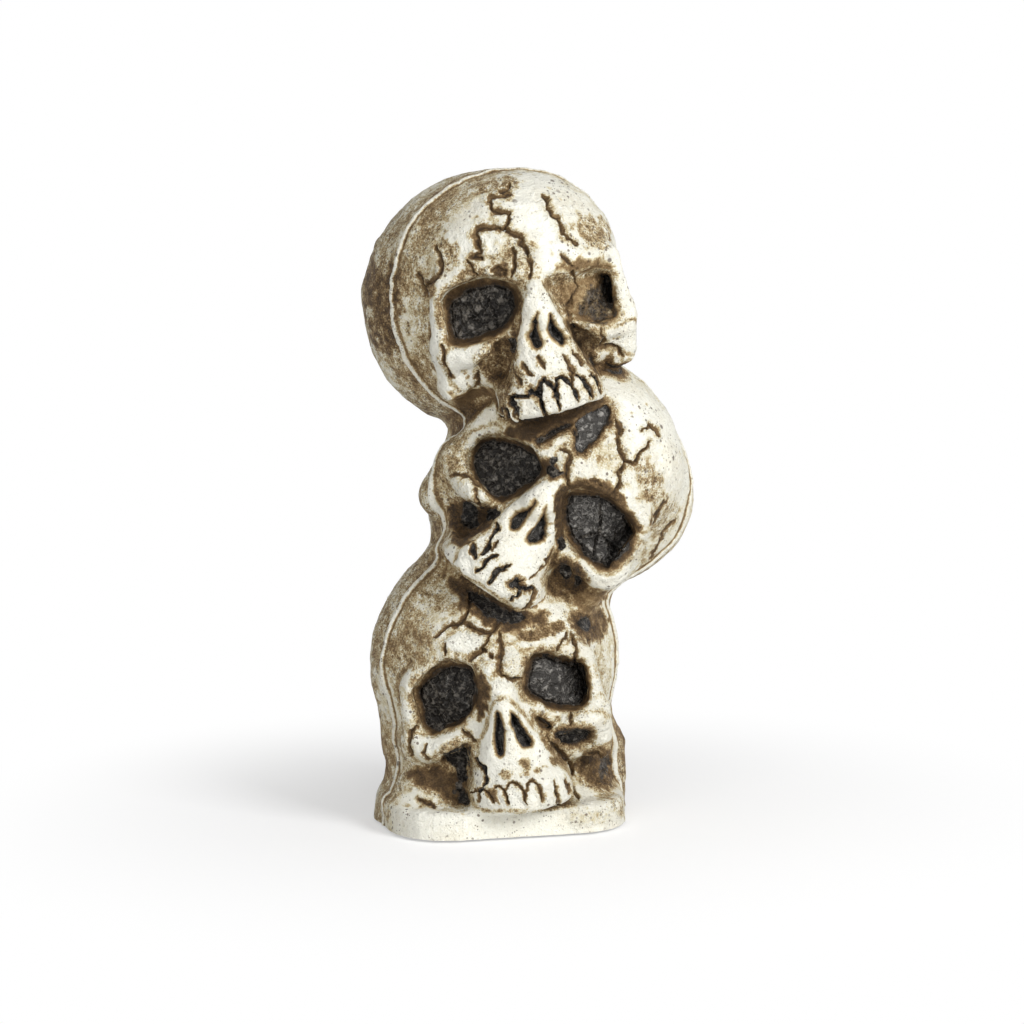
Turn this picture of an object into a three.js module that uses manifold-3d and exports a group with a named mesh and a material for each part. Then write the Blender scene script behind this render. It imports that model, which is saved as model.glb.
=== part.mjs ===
// Stack of three skulls on a low plinth: a hollow moulding in a front and a rear half,
// closed underneath by a screwed base plate and weighted with sand.
// Millimetres. +Z is up, the faces look towards -Y and +X is the viewer's right.
import * as THREE from "three";
import { mergeVertices } from "three/addons/utils/BufferGeometryUtils.js";
import Module from "manifold-3d";

// Main sizes
const STACK_HEIGHT = 376; // table to the crown of the upper skull
const DOME_DEPTH = 58; // half-depth of the dome of the upper skull

// Moulding
const WALL = 3; // wall of the two halves, measured level
const PARTING_GAP = 0.3; // between the front and the rear half
const FIT_GAP = 0.3; // between any other two pieces that meet
const RIM_HEIGHT = 1.2; // lower edge of the moulding above the table
const LIP_THICKNESS = 1.8; // tongue of the front half that the rear half slips over
const LIP_REACH = 5; // how far the tongue runs to each side of the parting plane

// Plinth, with the parting plane through the origin of its plan
const PLINTH_HALF_WIDTH = 69;
const PLINTH_FRONT = 49; // front edge ahead of the parting plane
const PLINTH_REAR = 49; // rear edge behind it
const PLINTH_CORNER = 34;
const PLINTH_HEIGHT = 17;
const PLINTH_EDGE = 4; // softness of its upper edge
const SKIRT = { front: 34, corner: 30, foot: 14, height: 40, slope: 0.55 }; // slopes up to the lowest jaw
const PEDESTAL = { x: 8, y: 17, halfWidth: 72, halfDepth: 32, height: 52 }; // behind the lowest jaw
const SKIRT_EDGE = 6; // softness of the upper edges of the skirt and the pedestal

// Base
const LEDGE_WIDTH = 13; // inner ledge that the base closes against
const LEDGE_THICKNESS = 3;
const GASKET_THICKNESS = 2;
const GASKET_WIDTH = 8;
const PLATE_THICKNESS = 4.5;
const PLATE_HEIGHT = 3; // underside of the base plate above the table
const FOOT_RADIUS = 8;
const FOOT_SEAT = 1.2; // depth of the seat of a foot in the plate
const FOOT_SIDE_INSET = 39; // foot centre from the left or right edge of the plinth
const FOOT_INSET = 19; // foot centre from the front or rear edge
const POST_RADIUS = 5.5;
const POST_COVER = 2; // post top below the top of the plinth
const POST_INSET = 16; // post centre from the front or rear edge of the plinth
const POST_SIDE_INSET = 23; // post centre from the left or right edge
const SCREW_RADIUS = 1.7;
const SCREW_COVER = 1.7; // screw tip below the post top
const SCREW_HEAD_RADIUS = 3.6;
const SCREW_HEAD_HEIGHT = 2;
const PLUG_RADIUS = 14;
const PLUG_FLANGE = 3; // flange of the plug beyond its stem
const PLUG_FLANGE_HEIGHT = 1.6;
const PLUG_STEM = 8; // height of the stem above the flange
const PLUG_OFFSET = 12; // plug centre behind the parting plane
const SAND_HEIGHT = 46; // level of the sand above the table

// Anatomy of one skull from the root of its nose: u to the viewer's right, v up, w out of the
// face. Features off the middle are given for u > 0 and mirrored.
const FOREHEAD = { at: [0, 7, -58], radii: [63, 56, 55] };
const FACE_BLOCK = { at: [0, -24, -54], radii: [57, 46, 46] };
const TEMPLE = { at: [72, -2, -30], radii: [14, 22, 20] };
const BROW = { from: [6, 8, -5, 7], to: [46, 7, -22, 7] };
const ORBIT_RIM = { from: [52, 2, -24, 6], to: [53, -24, -26, 7] };
const CHEEKBONE = { from: [30, -36, -13, 7], to: [52, -32, -28, 9] };
const RAMUS = { from: [51, -32, -32, 9], to: [50, -54, -38, 9] };
const MAXILLA = { from: [0, -14, -6, 10], to: [0, -60, -20, 28] };
const JAW_FLOOR = -75; // underside of the upper jaw
const DENTAL_ARCH = { top: -57, back: -20, halfWidth: 31, depth: 30 };
const NOSE_BRIDGE = { from: [0, 6, -5, 8], to: [0, -20, 2, 7] };
const ORBIT = { at: [31, -10, -8], radii: [22, 17.5, 15] };
const NOSTRIL = { from: [3.6, -17, 7, 1.8], to: [7, -38, 6, 5] };
const CHEEK_HOLLOW = { at: [40, -58, -8], radii: [12, 18, 16] };
const CHEEK_PIT = { at: [26, -45, -7], radii: [9, 14, 9] }; // between cheekbone and jaw
const CHEEK_BACK = { from: [30, -44, -38, 15], to: [38, -34, -38, 15] }; // closes the cheek behind the pit
const TOOTH_PITCH = 7.4;
const TOOTH_TOP = -62; // gum line
const TOOTH_GAPS = 7;
const TOOTH_GAP = 2; // half-width at the cutting edge
const SOFT = 7; // blend of raised forms
const CRISP = 4; // blend at the edges of hollows

// The skulls, lowest first: root of the nose, lean to the left, turn to the right, scale, and
// the dome that each has behind the parting plane, placed from the root of the nose
const SKULLS = [
  {
    nasion: [-15, -54, 0.2394 * STACK_HEIGHT], lean: 10, turn: -12, scale: 0.97,
    dome: { from: [17, 72, 1], radii: [73, 0.793 * DOME_DEPTH, 78] },
  },
  {
    nasion: [20.5, -53, 0.5479 * STACK_HEIGHT], lean: -36, turn: -20, scale: 1.02,
    dome: { from: [22, 75, -20], radii: [80, 0.828 * DOME_DEPTH, 58] },
  },
  {
    nasion: [4, -56, 0.8378 * STACK_HEIGHT], lean: 11, turn: -4, scale: 0.96,
    dome: { from: [-9, 86, -15], radii: [68, DOME_DEPTH, 72] },
  },
];
const STACK_BLEND = 6; // where one skull sits on another
const DOME_BLEND = 18; // between the domes at the rear

// Sampling of the surface
const FRONT_CELL = 6.3; // facets of the faces
const REAR_CELL = 12;
const SPINE = [[0, 0], [0.319, 0], [0.439, 14], [0.625, 24], [0.838, 5]]; // share of the height, x inside
const CORE_STEP = 21; // rings of the hollow
const CORE_ANGLE = 18; // degrees
const CORE_FINENESS = 4; // rays each way for one corner of the hollow
const REACH = 190; // room round the stack
const CROWN_ROOM = 1.12 * STACK_HEIGHT;

const wasm = await Module();
wasm.setup();

// Solids
function solidOf(geometry) {
  geometry.deleteAttribute("normal");
  geometry.deleteAttribute("uv");
  const merged = mergeVertices(geometry, 1e-4);
  const corners = merged.index.array;
  const triangles = [];
  for (let i = 0; i < corners.length; i += 3) {
    const [a, b, c] = corners.slice(i, i + 3);
    if (a !== b && b !== c && c !== a) triangles.push(a, b, c);
  }
  const mesh = new wasm.Mesh({
    numProp: 3,
    vertProperties: new Float32Array(merged.attributes.position.array),
    triVerts: new Uint32Array(triangles),
  });
  return new wasm.Manifold(mesh);
}

function geometryOf(solid) {
  const mesh = solid.getMesh();
  const geometry = new THREE.BufferGeometry();
  geometry.setAttribute("position", new THREE.Float32BufferAttribute(mesh.vertProperties, 3));
  geometry.setIndex(new THREE.Uint32BufferAttribute(mesh.triVerts, 1));
  geometry.computeVertexNormals();
  return geometry;
}

function block(x0, x1, y0, y1, z0, z1) {
  const geometry = new THREE.BoxGeometry(x1 - x0, y1 - y0, z1 - z0);
  geometry.translate((x0 + x1) / 2, (y0 + y1) / 2, (z0 + z1) / 2);
  return solidOf(geometry);
}

// A round piece about an upright axis, from radii and heights listed upwards
function turned(x, y, profile, sides = 16) {
  const points = profile.map(([radius, z]) => new THREE.Vector2(radius, z));
  const geometry = new THREE.LatheGeometry(points, sides);
  geometry.rotateX(Math.PI / 2);
  geometry.translate(x, y, 0);
  return solidOf(geometry);
}

function rod(x, y, radius, z0, z1) {
  return turned(x, y, [[0, z0], [radius, z0], [radius, z1], [0, z1]]);
}

// A prism on the outline of the plinth, moved inwards
function plinthPrism(inset, z0, z1) {
  const x = PLINTH_HALF_WIDTH - inset;
  const front = inset - PLINTH_FRONT;
  const rear = PLINTH_REAR - inset;
  const r = PLINTH_CORNER - inset;
  const outline = new THREE.Shape();
  outline.absarc(x - r, rear - r, r, 0, Math.PI / 2);
  outline.absarc(r - x, rear - r, r, Math.PI / 2, Math.PI);
  outline.absarc(r - x, front + r, r, Math.PI, Math.PI * 1.5);
  outline.absarc(x - r, front + r, r, Math.PI * 1.5, Math.PI * 2);
  const options = { depth: z1 - z0, bevelEnabled: false, curveSegments: 4 };
  const geometry = new THREE.ExtrudeGeometry(outline, options);
  geometry.translate(0, 0, z0);
  return solidOf(geometry);
}

const { degToRad, lerp } = THREE.MathUtils;

// Distances to the surface, negative inside
function ellipsoid(u, v, w, { at, radii }) {
  const a = (u - at[0]) / radii[0];
  const b = (v - at[1]) / radii[1];
  const c = (w - at[2]) / radii[2];
  const near = Math.hypot(a, b, c);
  const slope = Math.hypot(a / radii[0], b / radii[1], c / radii[2]);
  return slope === 0 ? -Math.min(...radii) : (near * (near - 1)) / slope;
}

// A limb with a round end of its own radius at each end
function limb(u, v, w, { from, to }) {
  const bu = to[0] - from[0];
  const bv = to[1] - from[1];
  const bw = to[2] - from[2];
  const pu = u - from[0];
  const pv = v - from[1];
  const pw = w - from[2];
  const along = (pu * bu + pv * bv + pw * bw) / (bu * bu + bv * bv + bw * bw);
  const t = Math.min(Math.max(along, 0), 1);
  return Math.hypot(pu - bu * t, pv - bv * t, pw - bw * t) - lerp(from[3], to[3], t);
}

function join(a, b, softness) {
  const h = Math.max(softness - Math.abs(a - b), 0) / softness;
  return Math.min(a, b) - (h * h * softness) / 4;
}

function common(a, b, softness) {
  return -join(-a, -b, softness);
}

function carve(a, b, softness) {
  return common(a, -b, softness);
}

// The upright front of the upper jaw
function dentalArch(u, v, w) {
  const { top, back, halfWidth, depth } = DENTAL_ARCH;
  const round = (Math.hypot(u / halfWidth, (w - back) / depth) - 1) * depth;
  return common(round, v - top, SOFT);
}

function skullDistance(u, v, w) {
  const s = Math.abs(u);
  let d = join(ellipsoid(s, v, w, FOREHEAD), ellipsoid(s, v, w, FACE_BLOCK), SOFT);
  d = carve(d, ellipsoid(s, v, w, TEMPLE), SOFT);
  d = join(d, limb(s, v, w, ORBIT_RIM), SOFT);
  d = join(d, limb(s, v, w, BROW), SOFT);
  d = join(d, limb(s, v, w, RAMUS), SOFT);
  d = join(d, limb(s, v, w, MAXILLA), SOFT);
  d = carve(d, ellipsoid(s, v, w, CHEEK_HOLLOW), SOFT);
  d = join(d, limb(s, v, w, CHEEKBONE), SOFT);
  d = join(d, dentalArch(s, v, w), SOFT);
  d = carve(d, ellipsoid(s, v, w, ORBIT), CRISP);
  d = carve(d, ellipsoid(s, v, w, CHEEK_PIT), CRISP);
  d = join(d, limb(s, v, w, CHEEK_BACK), CRISP);
  d = join(d, limb(s, v, w, NOSE_BRIDGE), CRISP);
  return common(d, JAW_FLOOR - v, CRISP);
}

// A slab on the plan of the plinth with its front edge and its corners given
function slab(x, y, front, corner) {
  const qx = Math.abs(x) - PLINTH_HALF_WIDTH + corner;
  const qy = Math.abs(y - (PLINTH_REAR - front) / 2) - (PLINTH_REAR + front) / 2 + corner;
  return Math.hypot(Math.max(qx, 0), Math.max(qy, 0)) + Math.min(Math.max(qx, qy), 0) - corner;
}

function plinthDistance(x, y, z) {
  const foot = common(slab(x, y, PLINTH_FRONT, PLINTH_CORNER), z - PLINTH_HEIGHT, PLINTH_EDGE);
  const side = slab(x, y, SKIRT.front, SKIRT.corner) + SKIRT.slope * Math.max(z - SKIRT.foot, 0);
  const skirt = common(side, z - SKIRT.height, SKIRT_EDGE);
  const round = Math.hypot((x - PEDESTAL.x) / PEDESTAL.halfWidth, (y - PEDESTAL.y) / PEDESTAL.halfDepth);
  const pedestal = common((round - 1) * PEDESTAL.halfDepth, z - PEDESTAL.height, SKIRT_EDGE);
  return join(join(foot, skirt, PLINTH_EDGE), pedestal, STACK_BLEND);
}

const placements = SKULLS.map(({ nasion, lean, turn, scale, dome }) => {
  const place = new THREE.Matrix4().makeRotationZ(degToRad(turn));
  place.multiply(new THREE.Matrix4().makeRotationY(-degToRad(lean)));
  place.multiply(new THREE.Matrix4().makeRotationX(Math.PI / 2));
  place.scale(new THREE.Vector3(scale, scale, scale));
  place.setPosition(...nasion);
  const at = dome.from.map((offset, axis) => nasion[axis] + offset);
  return { place, toSkull: place.clone().invert().elements, scale, dome: { at, radii: dome.radii } };
});

function stackDistance(x, y, z) {
  let d = plinthDistance(x, y, z);
  for (const { dome } of placements) d = join(d, ellipsoid(x, y, z, dome), DOME_BLEND);
  for (const { toSkull: m, scale } of placements) {
    const u = m[0] * x + m[4] * y + m[8] * z + m[12];
    const v = m[1] * x + m[5] * y + m[9] * z + m[13];
    const w = m[2] * x + m[6] * y + m[10] * z + m[14];
    d = join(d, skullDistance(u, v, w) * scale, STACK_BLEND);
  }
  return d;
}

// A closed skin of facets where a distance is nought: one corner in each cell that the surface
// crosses, and a facet across each crossed edge of the cells
function skin(distanceAt, low, high, cell) {
  const counts = low.map((from, axis) => Math.ceil((high[axis] - from) / cell) + 1);
  const strides = [1, counts[0], counts[0] * counts[1]];
  const total = strides[2] * counts[2];
  const place = (node) => low.map((from, axis) => {
    return from + cell * (Math.floor(node / strides[axis]) % counts[axis]);
  });
  const inner = (node) => counts.every((count, axis) => {
    return Math.floor(node / strides[axis]) % count < count - 1;
  });
  const values = Float32Array.from({ length: total }, (_, node) => distanceAt(...place(node)));
  const inside = (node) => values[node] < 0;
  const corners = Array.from({ length: 8 }, (_, c) => {
    return strides.reduce((sum, stride, axis) => sum + ((c >> axis) & 1) * stride, 0);
  });
  // Where the surface would touch itself across a face of a cell, one corner is filled in
  let touching = true;
  while (touching) {
    touching = false;
    for (let node = 0; node < total; node += 1) {
      for (let axis = 0; axis < 3 && inner(node); axis += 1) {
        const b = node + strides[axis];
        const d = node + strides[(axis + 1) % 3];
        const c = b + strides[(axis + 1) % 3];
        const crossed = inside(node) === inside(c) && inside(b) === inside(d);
        if (crossed && inside(node) !== inside(b)) {
          values[inside(node) ? b : node] = -0.1 * cell;
          touching = true;
        }
      }
    }
  }
  const points = [];
  const cornerOf = new Int32Array(total).fill(-1);
  for (let node = 0; node < total; node += 1) {
    const full = inner(node) ? corners.filter((offset) => inside(node + offset)).length : 0;
    if (full > 0 && full < 8) {
      const crossings = [];
      for (let c = 0; c < 8; c += 1) {
        for (let axis = 0; axis < 3; axis += 1) {
          const a = node + corners[c];
          const b = a + strides[axis];
          if (!((c >> axis) & 1) && inside(a) !== inside(b)) {
            const crossing = new THREE.Vector3(...place(a));
            const part = values[a] / (values[a] - values[b]);
            crossings.push(crossing.setComponent(axis, crossing.getComponent(axis) + part * cell));
          }
        }
      }
      const corner = new THREE.Vector3();
      crossings.forEach((crossing) => corner.addScaledVector(crossing, 1 / crossings.length));
      cornerOf[node] = points.length;
      points.push(settle(corner, distanceAt, cell));
    }
  }
  const faces = [];
  for (let node = 0; node < total; node += 1) {
    for (let axis = 0; axis < 3; axis += 1) {
      const next = node + strides[axis];
      if (inner(node) && inside(node) !== inside(next)) {
        const across = strides[(axis + 1) % 3];
        const along = strides[(axis + 2) % 3];
        const ring = [node - across - along, node - along, node, node - across];
        if (inside(next)) ring.reverse();
        const [a, b, c, d] = ring.map((at) => cornerOf[at]);
        const apart = (m, n) => Math.hypot(...points[m].map((value, k) => value - points[n][k]));
        if (apart(a, c) < apart(b, d)) faces.push(a, b, c, a, c, d);
        else faces.push(b, c, d, b, d, a);
      }
    }
  }
  const geometry = new THREE.BufferGeometry();
  geometry.setAttribute("position", new THREE.Float32BufferAttribute(points.flat(), 3));
  geometry.setIndex(faces);
  return solidOf(geometry);
}

// A corner drawn onto the surface along its slope, within its cell
function settle(corner, distanceAt, cell) {
  const start = corner.clone();
  const step = 0.2;
  for (let pass = 0; pass < 3; pass += 1) {
    const { x, y, z } = corner;
    const distance = distanceAt(x, y, z);
    const slope = new THREE.Vector3(
      distanceAt(x + step, y, z) - distanceAt(x - step, y, z),
      distanceAt(x, y + step, z) - distanceAt(x, y - step, z),
      distanceAt(x, y, z + step) - distanceAt(x, y, z - step),
    ).divideScalar(step * 2);
    corner.addScaledVector(slope, -distance / Math.max(slope.lengthSq(), 0.25));
  }
  return corner.sub(start).clampLength(0, cell / 2).add(start).toArray();
}

// Rays from the spine, at a height and an angle that counts from the front to the right
function spineX(z) {
  const share = z / STACK_HEIGHT;
  const next = Math.max(SPINE.findIndex(([height]) => height >= share), 1);
  const [low, x0] = SPINE[next - 1];
  const [high, x1] = SPINE[next];
  return lerp(x0, x1, (share - low) / (high - low));
}

function rayPoint({ z, rise }, angle, radius) {
  const level = radius * Math.cos(rise);
  const x = spineX(z) + level * Math.sin(angle);
  return [x, -level * Math.cos(angle), z + radius * Math.sin(rise)];
}

function spread(from, to, count) {
  return Array.from({ length: count + 1 }, (_, i) => lerp(from, to, i / count));
}

// How far a ray runs from the spine to the back of the wall
function hollowRadius(ray, angle) {
  let radius = 0;
  let room = -WALL - stackDistance(...rayPoint(ray, angle, radius));
  while (room > 0.01) {
    radius += room * 0.6;
    room = -WALL - stackDistance(...rayPoint(ray, angle, radius));
  }
  return radius;
}

// The hollow: coarse, at the shallowest of the rays round each of its corners
const spineTop = SPINE.at(-1)[0] * STACK_HEIGHT;
const coreHeights = Math.round((spineTop - RIM_HEIGHT) / CORE_STEP) * CORE_FINENESS;
const coreRays = [
  ...spread(RIM_HEIGHT, spineTop, coreHeights).map((z) => ({ z, rise: 0 })),
  ...spread(0, Math.PI / 2, 4 * CORE_FINENESS).slice(1).map((rise) => ({ z: spineTop, rise })),
];
const coreTurns = spread(0, Math.PI * 2, Math.round(360 / CORE_ANGLE) * CORE_FINENESS).slice(0, -1);
const hollow = coreRays.map((ray) => coreTurns.map((angle) => hollowRadius(ray, angle)));

function shallowest(j, i) {
  const near = spread(-CORE_FINENESS, CORE_FINENESS, CORE_FINENESS * 2);
  const rows = near.map((step) => hollow[Math.min(Math.max(j + step, 0), coreRays.length - 1)]);
  const count = coreTurns.length;
  return Math.min(...rows.flatMap((row) => near.map((step) => row[(i + step + count) % count])));
}

const everyCorner = (list) => list.map((_, i) => i).filter((i) => i % CORE_FINENESS === 0);
const coreRows = everyCorner(coreRays).slice(0, -1);
const coreRadii = coreRows.map((j) => everyCorner(coreTurns).map((i) => shallowest(j, i)));
const coreTop = shallowest(coreRays.length - 1, 0);

function core(inset) {
  const rings = coreRows.map((j, row) => everyCorner(coreTurns).map((i, column) => {
    return rayPoint(coreRays[j], coreTurns[i], coreRadii[row][column] - inset);
  }));
  const across = rings[0].length;
  const floor = rayPoint(coreRays[0], 0, 0);
  const points = [floor, ...rings.flat(), rayPoint(coreRays.at(-1), 0, coreTop - inset)];
  const at = (j, i) => 1 + j * across + (i % across);
  const faces = [];
  for (let i = 0; i < across; i += 1) {
    faces.push(0, at(0, i + 1), at(0, i));
    for (let j = 0; j + 1 < rings.length; j += 1) {
      faces.push(at(j, i), at(j, i + 1), at(j + 1, i + 1));
      faces.push(at(j, i), at(j + 1, i + 1), at(j + 1, i));
    }
    faces.push(at(rings.length - 1, i), at(rings.length - 1, i + 1), points.length - 1);
  }
  const geometry = new THREE.BufferGeometry();
  geometry.setAttribute("position", new THREE.Float32BufferAttribute(points.flat(), 3));
  geometry.setIndex(faces);
  return solidOf(geometry);
}

// Levels of the base, from the plate upwards
const plateTop = PLATE_HEIGHT + PLATE_THICKNESS;
const gasketTop = plateTop + FIT_GAP + GASKET_THICKNESS;
const ledgeBottom = gasketTop + FIT_GAP;
const ledgeTop = ledgeBottom + LEDGE_THICKNESS;
const postTop = PLINTH_HEIGHT - POST_COVER;
const screwSeat = PLATE_HEIGHT + SCREW_HEAD_HEIGHT + FIT_GAP;
const screwTip = postTop - SCREW_COVER;
const opening = WALL + LEDGE_WIDTH;
const above = (z) => block(-REACH, REACH, -REACH, REACH, z, CROWN_ROOM);
const below = (z) => block(-REACH, REACH, -REACH, REACH, -REACH, z);

const corners = [
  { name: "front_left", x: -1, y: -1 },
  { name: "front_right", x: 1, y: -1 },
  { name: "rear_left", x: -1, y: 1 },
  { name: "rear_right", x: 1, y: 1 },
];
const atCorners = (sideInset, inset) => corners.map(({ name, x, y }) => {
  const edge = y < 0 ? PLINTH_FRONT : PLINTH_REAR;
  return { name, x: x * (PLINTH_HALF_WIDTH - sideInset), y: y * (edge - inset) };
});
const posts = atCorners(POST_SIDE_INSET, POST_INSET);
const feet = atCorners(FOOT_SIDE_INSET, FOOT_INSET);

// A straight taper from one point and radius to another, at the place of a skull
function taper(place, { from, to }, sides) {
  const start = new THREE.Vector3(...from);
  const end = new THREE.Vector3(...to);
  const axis = start.clone().sub(end);
  const geometry = new THREE.CylinderGeometry(from[3], to[3], axis.length(), sides);
  const up = new THREE.Vector3(0, 1, 0);
  geometry.applyQuaternion(new THREE.Quaternion().setFromUnitVectors(up, axis.normalize()));
  geometry.translate(...start.add(end).divideScalar(2).toArray());
  return solidOf(geometry.applyMatrix4(place));
}

// Nostrils and the grooves between the teeth of one skull
function faceCuts(place) {
  const { back, halfWidth, depth } = DENTAL_ARCH;
  const grooves = Array.from({ length: TOOTH_GAPS }, (_, i) => {
    const u = (i - (TOOTH_GAPS - 1) / 2) * TOOTH_PITCH;
    const w = back + depth * Math.sqrt(1 - (u / halfWidth) ** 2);
    return { from: [u, TOOTH_TOP, w, TOOTH_GAP * 0.6], to: [u, JAW_FLOOR - 1, w, TOOTH_GAP] };
  });
  const mirrored = ([u, ...rest]) => [-u, ...rest];
  const nostrils = [NOSTRIL, { from: mirrored(NOSTRIL.from), to: mirrored(NOSTRIL.to) }];
  return [
    ...grooves.map((groove) => taper(place, groove, 4)),
    ...nostrils.map((nostril) => taper(place, nostril, 12)),
  ];
}

// The moulding: each half is its outside without the hollow, with the ledge and screw posts
function moulding(cell, y0, y1) {
  const closed = (x, y, z) => {
    return Math.max(stackDistance(x, y, z), y0 - cell - y, y - y1 - cell, -z - cell);
  };
  const low = [-REACH, Math.max(y0, -REACH) - cell * 3, -cell * 3];
  const high = [REACH, Math.min(y1, REACH) + cell * 3, CROWN_ROOM];
  let shell = skin(closed, low, high, cell);
  for (const { place } of placements) {
    for (const cut of faceCuts(place)) shell = shell.subtract(cut);
  }
  shell = shell.subtract(plinthPrism(WALL, -REACH, ledgeBottom));
  shell = shell.subtract(plinthPrism(opening, 0, ledgeTop + FIT_GAP));
  shell = shell.subtract(core(0).intersect(above(ledgeTop)));
  for (const { x, y } of posts) {
    shell = shell.add(rod(x, y, POST_RADIUS, ledgeBottom, postTop));
    shell = shell.subtract(rod(x, y, SCREW_RADIUS + FIT_GAP, 0, screwTip + FIT_GAP));
  }
  return shell.intersect(block(-REACH, REACH, y0, y1, RIM_HEIGHT, CROWN_ROOM));
}

const half = PARTING_GAP / 2;
const lipZone = (y0, y1) => block(-REACH, REACH, y0, y1, SAND_HEIGHT + FIT_GAP, CROWN_ROOM);
const tongue = core(FIT_GAP).subtract(core(FIT_GAP + LIP_THICKNESS));
const root = core(-WALL / 3).subtract(core(FIT_GAP + LIP_THICKNESS / 2));
const frontShell = moulding(FRONT_CELL, -REACH, -half)
  .add(tongue.intersect(lipZone(-LIP_REACH, LIP_REACH)))
  .add(root.intersect(lipZone(1 - LIP_REACH, -1)));
const rearShell = moulding(REAR_CELL, half, REACH);

// The base: plate, gasket, plug, feet and screws
let plate = plinthPrism(WALL + FIT_GAP, PLATE_HEIGHT, plateTop);
for (const { x, y } of posts) {
  plate = plate.subtract(rod(x, y, SCREW_RADIUS + FIT_GAP, 0, plateTop + 1));
  plate = plate.subtract(rod(x, y, SCREW_HEAD_RADIUS + FIT_GAP, 0, screwSeat + FIT_GAP));
}
for (const { x, y } of feet) {
  plate = plate.subtract(rod(x, y, FOOT_RADIUS + FIT_GAP, 0, PLATE_HEIGHT + FOOT_SEAT));
}
const flangeTop = PLATE_HEIGHT + PLUG_FLANGE_HEIGHT;
const plugTop = flangeTop + PLUG_STEM;
const flangeRadius = PLUG_RADIUS + PLUG_FLANGE;
plate = plate.subtract(rod(0, PLUG_OFFSET, PLUG_RADIUS + FIT_GAP, 0, plateTop + 1));
plate = plate.subtract(rod(0, PLUG_OFFSET, flangeRadius + FIT_GAP, 0, flangeTop + FIT_GAP));

const gasketOuter = plinthPrism(WALL + FIT_GAP, plateTop + FIT_GAP, gasketTop);
const gasket = gasketOuter.subtract(plinthPrism(WALL + GASKET_WIDTH, 0, ledgeTop));

const gripWidth = PLUG_FLANGE * 0.8;
const plug = turned(0, PLUG_OFFSET, [
  [0, PLATE_HEIGHT],
  [flangeRadius, PLATE_HEIGHT],
  [flangeRadius, flangeTop],
  [PLUG_RADIUS, flangeTop],
  [PLUG_RADIUS, plugTop - 1],
  [PLUG_RADIUS - 1, plugTop],
  [0, plugTop],
], 24).subtract(block(-PLUG_RADIUS / 2, PLUG_RADIUS / 2, PLUG_OFFSET - gripWidth,
  PLUG_OFFSET + gripWidth, 0, flangeTop));

function foot(x, y) {
  const top = PLATE_HEIGHT + FOOT_SEAT - FIT_GAP;
  return turned(x, y, [
    [0, 0],
    [FOOT_RADIUS - 0.8, 0],
    [FOOT_RADIUS, 0.8],
    [FOOT_RADIUS, top],
    [0, top],
  ]);
}

function screw(x, y) {
  const head = screwSeat - SCREW_HEAD_HEIGHT;
  const body = turned(x, y, [
    [0, head],
    [SCREW_HEAD_RADIUS - 0.6, head],
    [SCREW_HEAD_RADIUS, head + 0.8],
    [SCREW_HEAD_RADIUS, screwSeat],
    [SCREW_RADIUS, screwSeat],
    [SCREW_RADIUS, screwTip - SCREW_RADIUS * 2],
    [0, screwTip],
  ], 12);
  const long = SCREW_HEAD_RADIUS * 0.55;
  const wide = SCREW_HEAD_RADIUS * 0.12;
  const deep = head + SCREW_HEAD_HEIGHT * 0.5;
  const slot = block(x - long, x + long, y - wide, y + wide, 0, deep);
  return body.subtract(slot).subtract(block(x - wide, x + wide, y - long, y + long, 0, deep));
}

// Sand fills the foot of the hollow up to its level, round the posts and the plug
let sand = plinthPrism(opening + FIT_GAP, plateTop + FIT_GAP, ledgeTop + FIT_GAP * 2);
sand = sand.add(above(ledgeTop + FIT_GAP)).intersect(core(FIT_GAP)).intersect(below(SAND_HEIGHT));
sand = sand.subtract(rod(0, PLUG_OFFSET, PLUG_RADIUS + FIT_GAP, 0, plugTop + FIT_GAP));
for (const { x, y } of posts) {
  sand = sand.subtract(rod(x, y, POST_RADIUS + FIT_GAP, 0, postTop + FIT_GAP));
}

// The assembly stands with the middle of its outline over the origin
const outline = new THREE.Box3();
for (const solid of [frontShell, rearShell]) {
  const geometry = geometryOf(solid);
  geometry.computeBoundingBox();
  outline.union(geometry.boundingBox);
}
const middle = outline.getCenter(new THREE.Vector3());
const stack = new THREE.Group();
stack.position.set(-middle.x, -middle.y, 0);

function addPart(name, solid, color, roughness, metalness = 0) {
  const material = new THREE.MeshStandardMaterial({ color, roughness, metalness });
  const mesh = new THREE.Mesh(geometryOf(solid), material);
  mesh.name = name;
  stack.add(mesh);
}

addPart("front_shell", frontShell, 0xe6e0cc, 0.6);
addPart("rear_shell", rearShell, 0xc9bfa8, 0.65);
addPart("base_plate", plate, 0x2b2a28, 0.6);
addPart("base_gasket", gasket, 0x1d1d1d, 0.9);
addPart("filler_plug", plug, 0x37352f, 0.5);
addPart("sand_ballast", sand, 0xb79b6c, 0.95);
for (const { name, x, y } of feet) addPart(`foot_${name}`, foot(x, y), 0x1a1a1a, 0.9);
for (const { name, x, y } of posts) addPart(`base_screw_${name}`, screw(x, y), 0xb5b6b8, 0.35, 1);

export default stack;
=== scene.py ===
import math

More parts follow.
